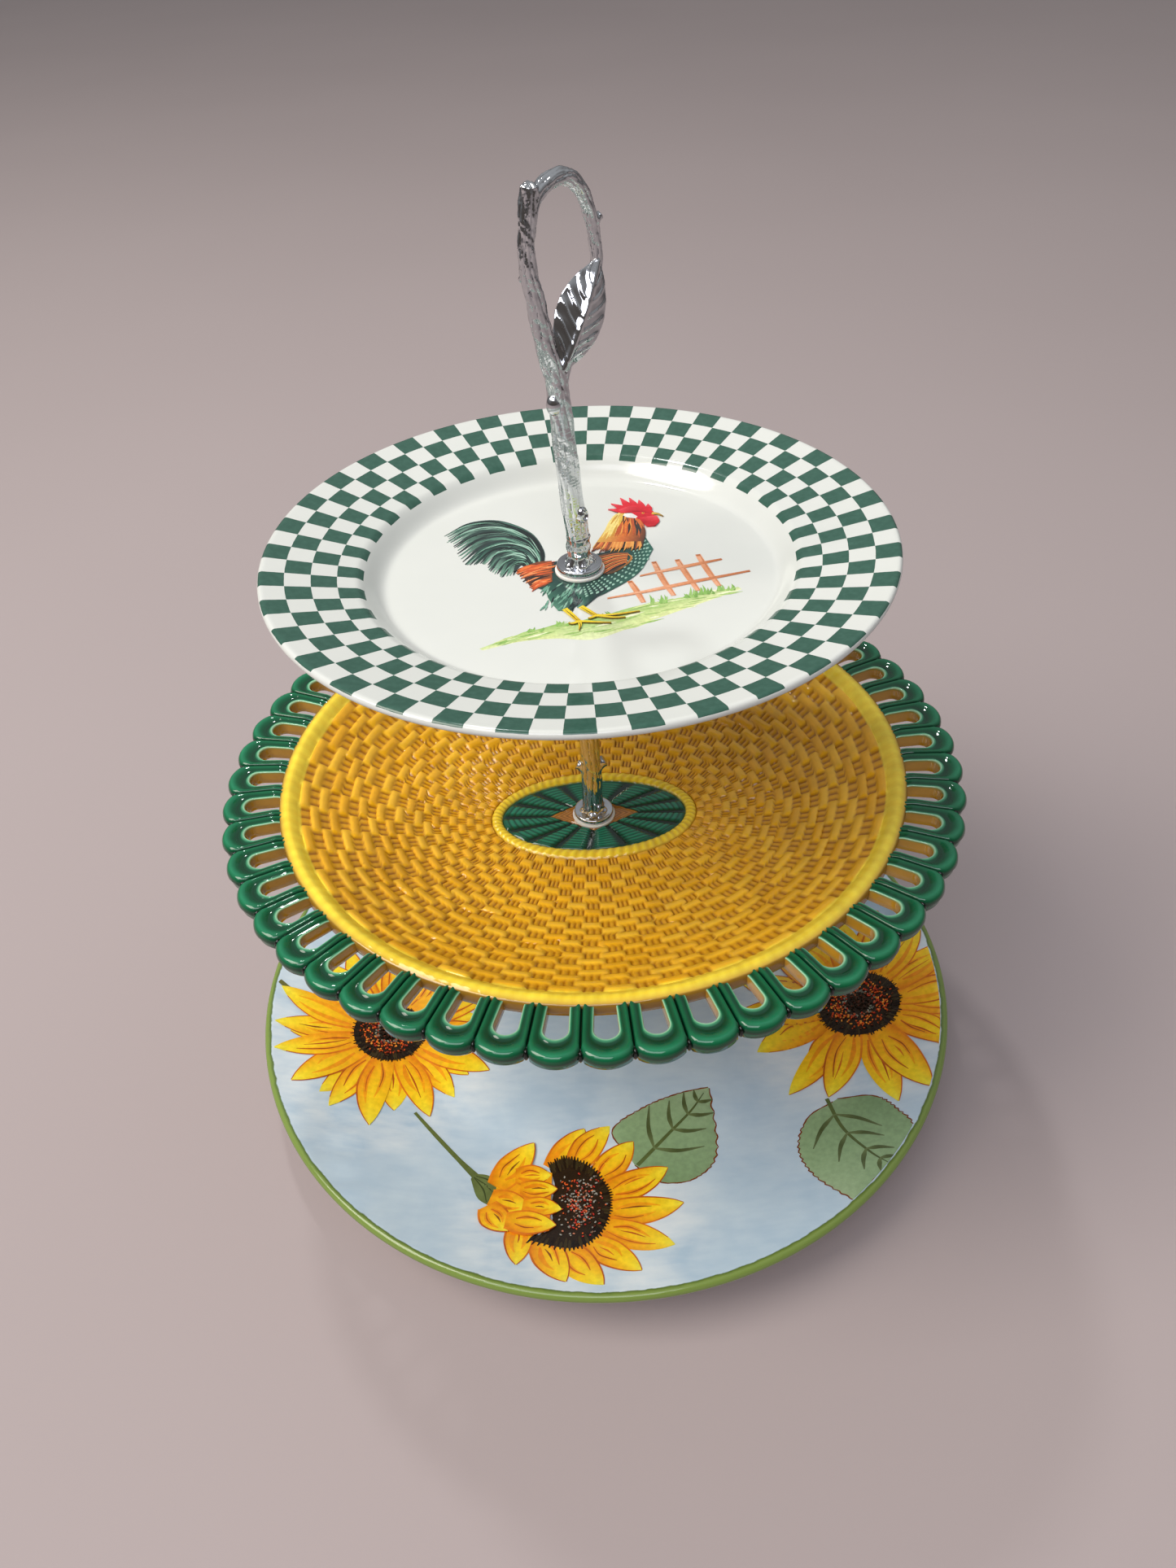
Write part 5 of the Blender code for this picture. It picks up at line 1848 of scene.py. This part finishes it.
    def post(self, name: str, knots: Sequence, seed: float) -> Piece:
        """Make one post: bark shaft, knots and flange.

        Args:
            name: Name of the post.
            knots: Height over the flange, azimuth and size of each knot.
            seed: Shifts its bark.

        Returns:
            The post.
        """
        low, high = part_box(name)
        level, top = low.z / MM, high.z / MM
        stubs = [self.knot((0, 0, level + z), turn, size, 6.2) for z, turn, size in knots]
        made = self.fuse(name, self.bored_shaft(name, level, top, True), *stubs)
        points = read_points(made)
        radius, angle = np.linalg.norm(points[:, :2], axis=1), np.arctan2(points[:, 1], points[:, 0])
        outside = ease(radius, 3.0, 3.4) * ease(top - points[:, 2], 0.1, 1.2)
        plain = 1 - 0.75 * ease(radius, 4.5, 5.2)
        carve = bark(angle, points[:, 2] - level, 8, seed)
        toes = 0.7 * np.cos(5 * angle + seed) * np.exp(-np.abs(points[:, 2] - level - 2.4) / 1.3)
        move = (carve * plain + toes - 0.08) * outside
        points[:, :2] *= (1 + move / np.maximum(radius, 1e-6))[:, None]
        write_points(made, points)
        return join(f"{name}_casting", made, self.foot("flange", level))

    def handle(self) -> Piece:
        """Make the lifting handle: stem, leaning branch, loop and leaf."""
        low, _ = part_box("handle")
        level = low.z / MM
        turn, stem = math.radians(45), 62.0

        def at(across: float, up: float) -> np.ndarray:
            """Return a point in the loop's plane."""
            u = across * 13.5
            return np.array([u * math.cos(turn), u * math.sin(turn), level + stem + up * 53.0])

        keys = [np.array([0, 0, level + 9.6]), at(-0.16, -0.6), at(-0.27, -0.27), at(-0.36, 0)]
        keys += [at(-0.62, 0.24), at(-0.8, 0.46), at(-0.95, 0.655), at(-0.9, 0.82), at(-0.77, 1.0)]
        branch = Twig.through(keys, (3.65, 3.6, 3.5, 3.3, 3.0, 2.7, 2.4, 2.35, 2.5), 160)
        shape = [(-0.93, 0.74), (-0.7, 0.915), (-0.31, 0.983), (0.12, 0.995), (0.5, 0.945)]
        shape += [(0.78, 0.84), (0.96, 0.68), (1.0, 0.54), (0.84, 0.41), (0.46, 0.29), (0.02, 0.16)]
        shape += [(-0.3, -0.02)]
        shares = (0.9, 1.0, 1.05, 1.05, 1.0, 0.92, 0.85, 0.82, 0.9, 1.0, 1.1, 1.1)
        loop = Twig.through([at(*s) for s in shape], [2.2 * k for k in shares], 160)
        root = self.bored_shaft("root", level, level + 11.5, False)
        parts = [branch.piece("branch"), loop.piece("loop")]
        parts += [self.knot(at(-0.10, -0.80), -15, 1.6, 4.2)]
        parts += [self.knot(at(-0.86, 0.56), 170, 1.2, 3.4), self.knot(at(0.92, 0.74), 20, 1.1, 3.0)]
        deselect()
        bpy.ops.mesh.primitive_uv_sphere_add(
            segments=20, ring_count=12, radius=2.6 * MM, location=Vector(at(-0.78, 0.97)) * MM
        )
        bpy.ops.object.transform_apply(location=True)
        made = self.fuse("handle", root, name_piece("cut_end"), *parts)
        points = read_points(made)
        normals = np.zeros(len(points) * 3)
        made.data.vertices.foreach_get("normal", normals)
        normals = normals.reshape(-1, 3)
        stations, angles, ratios = zip(*(twig.nearest(points) for twig in (branch, loop)))
        first = ratios[0] < ratios[1]
        run = np.where(first, stations[0] * 0.72, stations[1] * 0.85 + 40.0)
        angle = np.where(first, angles[0], angles[1])
        low_root = points[:, 2] < level + 13
        angle = np.where(low_root, np.arctan2(points[:, 1], points[:, 0]), angle)
        run = np.where(low_root, points[:, 2] - level - 9.6, run)
        ratio = np.minimum(ratios[0], ratios[1])
        radius = np.linalg.norm(points[:, :2], axis=1)
        skin = 1 - 0.75 * ease(ratio, 1.25, 1.5)
        skin = np.where(low_root, ease(radius, 3.0, 3.4), skin)
        toes = 0.6 * np.cos(5 * angle) * np.exp(-np.abs(points[:, 2] - level - 2.4) / 1.3)
        carve = bark(angle, run, 7, 1.3) * np.where(first, 1.0, 0.7) + toes
        write_points(made, points + normals * (carve * skin)[:, None])
        ring = self.boss(at(-0.10, -0.80), -42, 4.1)
        swelling = self.bump(at(-0.29, -0.11), 228, 2.9)
        return join("handle_casting", made, self.leaf(at), ring, swelling, self.foot("flange", level))

    def leaf(self, at: Callable[[float, float], np.ndarray]) -> Piece:
        """Make the folded leaf with its midrib and veins.

        Args:
            at: Gives a point in the loop's plane.

        Returns:
            The leaf.
        """
        foot = at(-0.37, 0.08) + np.array([0.63, -0.5, 0]) * 3.1
        tip = at(1.0, 0.55) + np.array([0.15, -0.6, 0]) * 2.2
        along = tip - foot
        yaw = math.radians(28)
        side = np.array([math.cos(yaw), math.sin(yaw), 0.0])
        side = side - along * (side @ along) / (along @ along)
        side /= np.linalg.norm(side)
        front = np.cross(side, along)
        front /= np.linalg.norm(front)
        rows, columns = 90, 41
        s, c = np.meshgrid(np.linspace(0, 1, rows), np.linspace(-1, 1, columns), indexing="ij")
        width = 7.4 * np.sin(math.pi * np.clip(s, 0.03, 0.985)) ** 0.8
        fold = 0.40 * np.abs(c * width)
        rib = 0.75 * np.exp(-((c * width / 0.75) ** 2)) * (1 - 0.6 * s)
        veins = np.zeros_like(s)
        for n in range(6):
            place = 0.08 + 0.135 * n + 0.24 * np.abs(c) ** 1.2
            ridge = 0.42 * np.exp(-(((s - place) / 0.014) ** 2))
            veins += ridge * np.clip(np.abs(c) * 5, 0, 1) * (1 - np.abs(c) ** 6)
        ripple = 0.12 * np.sin(s * 38) * np.abs(c)
        face = 2.2 * np.sin(math.pi * s) - fold + rib + veins + ripple
        points = foot + along * s[..., None] + side * (c * width)[..., None] + front * face[..., None]
        made = mesh_piece("leaf", points.reshape(-1, 3), grid_faces(rows, columns, False, False))
        apply_modifier(made, "SOLIDIFY", thickness=1.1 * MM, offset=0.0)
        apply_modifier(made, "BEVEL", width=0.2 * MM, segments=2, limit_method="ANGLE")
        return face_out(made)


# ---------------- washers, studs and screw


@dataclass
class Hardware:
    """Nylon and steel washers, threaded studs and the screw in the base."""

    pitch: float = 0.8
    crest: float = 2.5
    root: float = 2.1

    def build(self) -> None:
        """Make every small part and dress it."""
        nylon = NylonMoulding().material()
        # Bright zinc over turned steel: grey, with 0.4 mm crystals and a slow haze.
        zinc = BareMetal(
            name="zinc_plated_steel", hue="#a9abab", worn_hue="#8b8e90", roughness=0.28,
            wave_mm=0.4, wave=0.012,
        ).material()
        holders = (
            ("nylon_washer_under_bottom_plate", Body.BASE),
            ("nylon_washer_over_bottom_plate", Body.BASE),
            ("nylon_washer_under_middle_plate", Body.LOWER_COLUMN),
            ("nylon_washer_over_middle_plate", Body.UPPER_COLLAR),
            ("nylon_washer_under_top_plate", Body.UPPER_COLUMN),
            ("nylon_washer_over_top_plate", Body.HANDLE_COLLAR),
            ("steel_washer_under_bottom_plate", Body.LOWER_COLUMN),
            ("steel_washer_under_middle_plate", Body.LOWER_COLUMN),
            ("steel_washer_under_top_plate", Body.UPPER_COLUMN),
        )
        for node, body in holders:
            soft = node.startswith("nylon")
            slot, finish = ("nylon", nylon) if soft else ("zinc_steel", zinc)
            hand_over(self.washer(node), body, finish, [node], 35)
        for node, body in (("lower_stud", Body.LOWER_COLUMN), ("upper_stud", Body.UPPER_COLUMN)):
            low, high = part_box(node)
            rod = self.thread(f"{node}_thread", low.z / MM, high.z / MM)
            hand_over(rod, body, zinc, [node], 50)
        hand_over(self.screw(), Body.LOWER_COLUMN, zinc, ["base_screw"], 35)

    def washer(self, node: str) -> Piece:
        """Turn a washer with rounded edges and a bored hole, in its frame node's place.

        Args:
            node: Frame node that it takes the place of.

        Returns:
            The washer.
        """
        low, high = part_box(node)
        base, top, edge, hole = low.z / MM, high.z / MM, high.x / MM, 2.9
        e = 0.28 * (top - base)
        outline = [(hole + 0.1, top), (edge - e, top), (edge - 0.3 * e, top - 0.3 * e), (edge, top - e)]
        outline += [(edge, base + e), (edge - 0.3 * e, base + 0.3 * e), (edge - e, base), (hole + 0.1, base)]
        outline += [(hole, base + 0.1), (hole, top - 0.1)]
        return spin_outline(f"{node}_moulded" if "nylon" in node else f"{node}_pressed", outline, 64, True)

    def thread(self, name: str, low: float, high: float) -> Piece:
        """Cut a screw thread along a rod.

        Args:
            name: Name of the rod.
            low: Height of its lower end, in millimetres.
            high: Height of its upper end.

        Returns:
            The rod, closed at both ends.
        """
        sides = 24
        levels = np.linspace(low, high, int((high - low) / self.pitch * 6) + 1)
        turn = np.arange(sides) * TURN / sides
        share = (levels[:, None] / self.pitch - turn[None, :] / TURN) % 1.0
        tooth = 1 - np.abs(2 * share - 1)
        depth = self.root + (self.crest - self.root) * np.clip(tooth * 1.35, 0, 1)
        ends = np.minimum(levels - low, high - levels)[:, None]
        depth = np.minimum(depth, self.root - 0.15 + ends)
        flat = np.broadcast_to(levels[:, None], depth.shape)
        points = np.stack([depth * np.cos(turn), depth * np.sin(turn), flat], -1)
        return face_out(mesh_piece(name, points.reshape(-1, 3), tube_faces(len(levels), sides)))

    def screw(self) -> Piece:
        """Make the truss-head screw with its cross recess and thread."""
        low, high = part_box("base_screw")
        bottom, tip, head = low.z / MM, high.z / MM, 5.2
        bearing = bottom + 2.2
        outline = [(0.0, bearing), (head - 0.15, bearing), (head, bearing - 0.15)]
        for degrees in range(5, 91, 8):
            a = math.radians(degrees)
            outline.append((head * math.cos(a), bearing - 0.5 - 1.7 * math.sin(a)))
        outline.append((0.0, bottom))
        cap = spin_outline("screw_head", outline, 56, False)
        for turn in (0.0, math.pi / 2):
            deselect()
            bpy.ops.mesh.primitive_cube_add(size=1.0)
            cutter = name_piece("cross")
            shape = Matrix.Diagonal((4.8 * MM, 0.9 * MM, 2.4 * MM, 1.0))
            place = Matrix.Translation((0, 0, bottom * MM))
            cutter.data.transform(place @ Matrix.Rotation(turn, 4, "Z") @ shape)
            apply_modifier(cap, "BOOLEAN", operation="DIFFERENCE", object=cutter, solver="EXACT")
            bpy.data.objects.remove(cutter)
        rod = self.thread("rod", bearing - 0.1, tip)
        return join("base_screw_threaded", cap, rod)


# ---------------- studio


@dataclass
class Studio:
    """Pale floor, soft light and the camera."""

    film: float = 36.0  # height of the sensor, in millimetres
    focal_length: float = 27.08874
    shift: tuple[float, float] = (-0.0025947, -0.0020758)  # shares of the sensor's height

    def build(self) -> None:
        """Set up floor, lights, surroundings and camera."""
        self.floor()
        self.light("window", (-1.8, -0.5, 2.4), (0, 0, 0.12), (1.6, 1.6), 70.0, "#fff6ec")
        self.light("fill", (-0.5, -1.9, 2.5), (0, 0, 0.1), (2.2, 1.4), 40.0, "#f4f4ff")
        self.light("lamp", (-0.25, 0.6, 1.4), (0, 0, 0.15), (0.1, 0.1), 4.0, "#ffffff")
        self.surroundings()
        self.camera()
        bpy.context.scene.view_settings.view_transform = "Standard"

    def floor(self) -> None:
        """Lay a plain pale floor."""
        deselect()
        bpy.ops.mesh.primitive_plane_add(size=14.0, location=(0, 0, 0))
        ground = name_piece("studio_floor")
        material, tree = start_material("matt_paper")
        place = add_node(tree, "TexCoord", {})["Object"]
        tint = add_node(tree, "TexNoise", {"Vector": place, "Scale": 2.0, "Detail": 2.0})["Fac"]
        greys = {0: tint, 6: linear("#a09594"), 7: linear("#a69b9a")}
        colour = add_node(tree, "Mix", greys, data_type="RGBA")[2]
        shader = add_node(tree, "BsdfPrincipled", {"Base Color": colour, "Roughness": 0.9})
        add_node(tree, "OutputMaterial", {"Surface": shader[0]})
        ground.data.materials.append(material)

    def light(self, name: str, place: tuple, aim: tuple, size: tuple, watts: float, hue: str) -> None:
        """Hang a soft box.

        Args:
            name: Name of the light.
            place: Its position in metres.
            aim: Point it faces.
            size: Width and height in metres.
            watts: Its power.
            hue: Colour of its light.
        """
        lamp = bpy.data.lights.new(name, "AREA")
        lamp.shape = "RECTANGLE"
        lamp.size, lamp.size_y = size
        lamp.energy = watts
        lamp.color = linear(hue)[:3]
        holder = bpy.data.objects.new(name, lamp)
        bpy.context.scene.collection.objects.link(holder)
        holder.location = place
        way = Vector(aim) - Vector(place)
        holder.rotation_euler = way.to_track_quat("-Z", "Y").to_euler()

    def surroundings(self) -> None:
        """Fill the room with even light, brighter above than below."""
        world = bpy.data.worlds.new("room")
        bpy.context.scene.world = world
        world.use_nodes = True
        tree = world.node_tree
        tree.nodes.clear()
        place = add_node(tree, "TexCoord", {})["Generated"]
        _, near, up = add_node(tree, "SeparateXYZ", {0: place})
        share = add_node(tree, "MapRange", {"Value": up, 1: -0.1, 2: 0.8})[0]
        heights = {0: share, 6: linear("#676160"), 7: linear("#e4e6ea")}
        walls = add_node(tree, "Mix", heights, data_type="RGBA")[2]
        dim = add_node(tree, "MapRange", {"Value": near, 1: -0.85, 2: -0.25, 3: 0.85, 4: 0.0})[0]
        colour = add_node(tree, "Mix", {0: dim, 6: walls, 7: linear("#6a615b")}, data_type="RGBA")[2]
        glow = add_node(tree, "Background", {"Color": colour, "Strength": 0.6})
        add_node(tree, "OutputWorld", {"Surface": glow[0]})

    def camera(self) -> None:
        """Stand a hand-held camera in front, looking down on the stand."""
        lens = bpy.data.cameras.new("camera")
        holder = bpy.data.objects.new("camera", lens)
        bpy.context.scene.collection.objects.link(holder)
        place, aim = Vector((0.0, -0.3319, 0.4221)), Vector((0.0, 0.0, 0.136))
        back = (place - aim).normalized()
        right = Vector((0, 0, 1)).cross(back).normalized()
        up = back.cross(right)
        tilt = math.radians(-3.3)
        across = right * math.cos(tilt) + up * math.sin(tilt)
        upward = up * math.cos(tilt) - right * math.sin(tilt)
        turned = Matrix((across, upward, back)).transposed().to_4x4()
        holder.matrix_world = Matrix.Translation(place) @ turned
        lens.sensor_fit = "VERTICAL"
        lens.sensor_height = self.film
        lens.lens = self.focal_length
        lens.shift_x, lens.shift_y = self.shift
        lens.clip_start = 0.01
        bpy.context.scene.camera = holder


def main() -> None:
    """Build the stand and its studio, piece by piece."""
    logging.basicConfig(level=logging.INFO, format="%(name)s: %(message)s")
    for assembly in (BottomTier(), MiddleTier(), TopTier(), Castings(), Hardware(), Studio()):
        assembly.build()
        LOG.info("%s done", type(assembly).__name__)


if __name__ == "__main__":
    main()
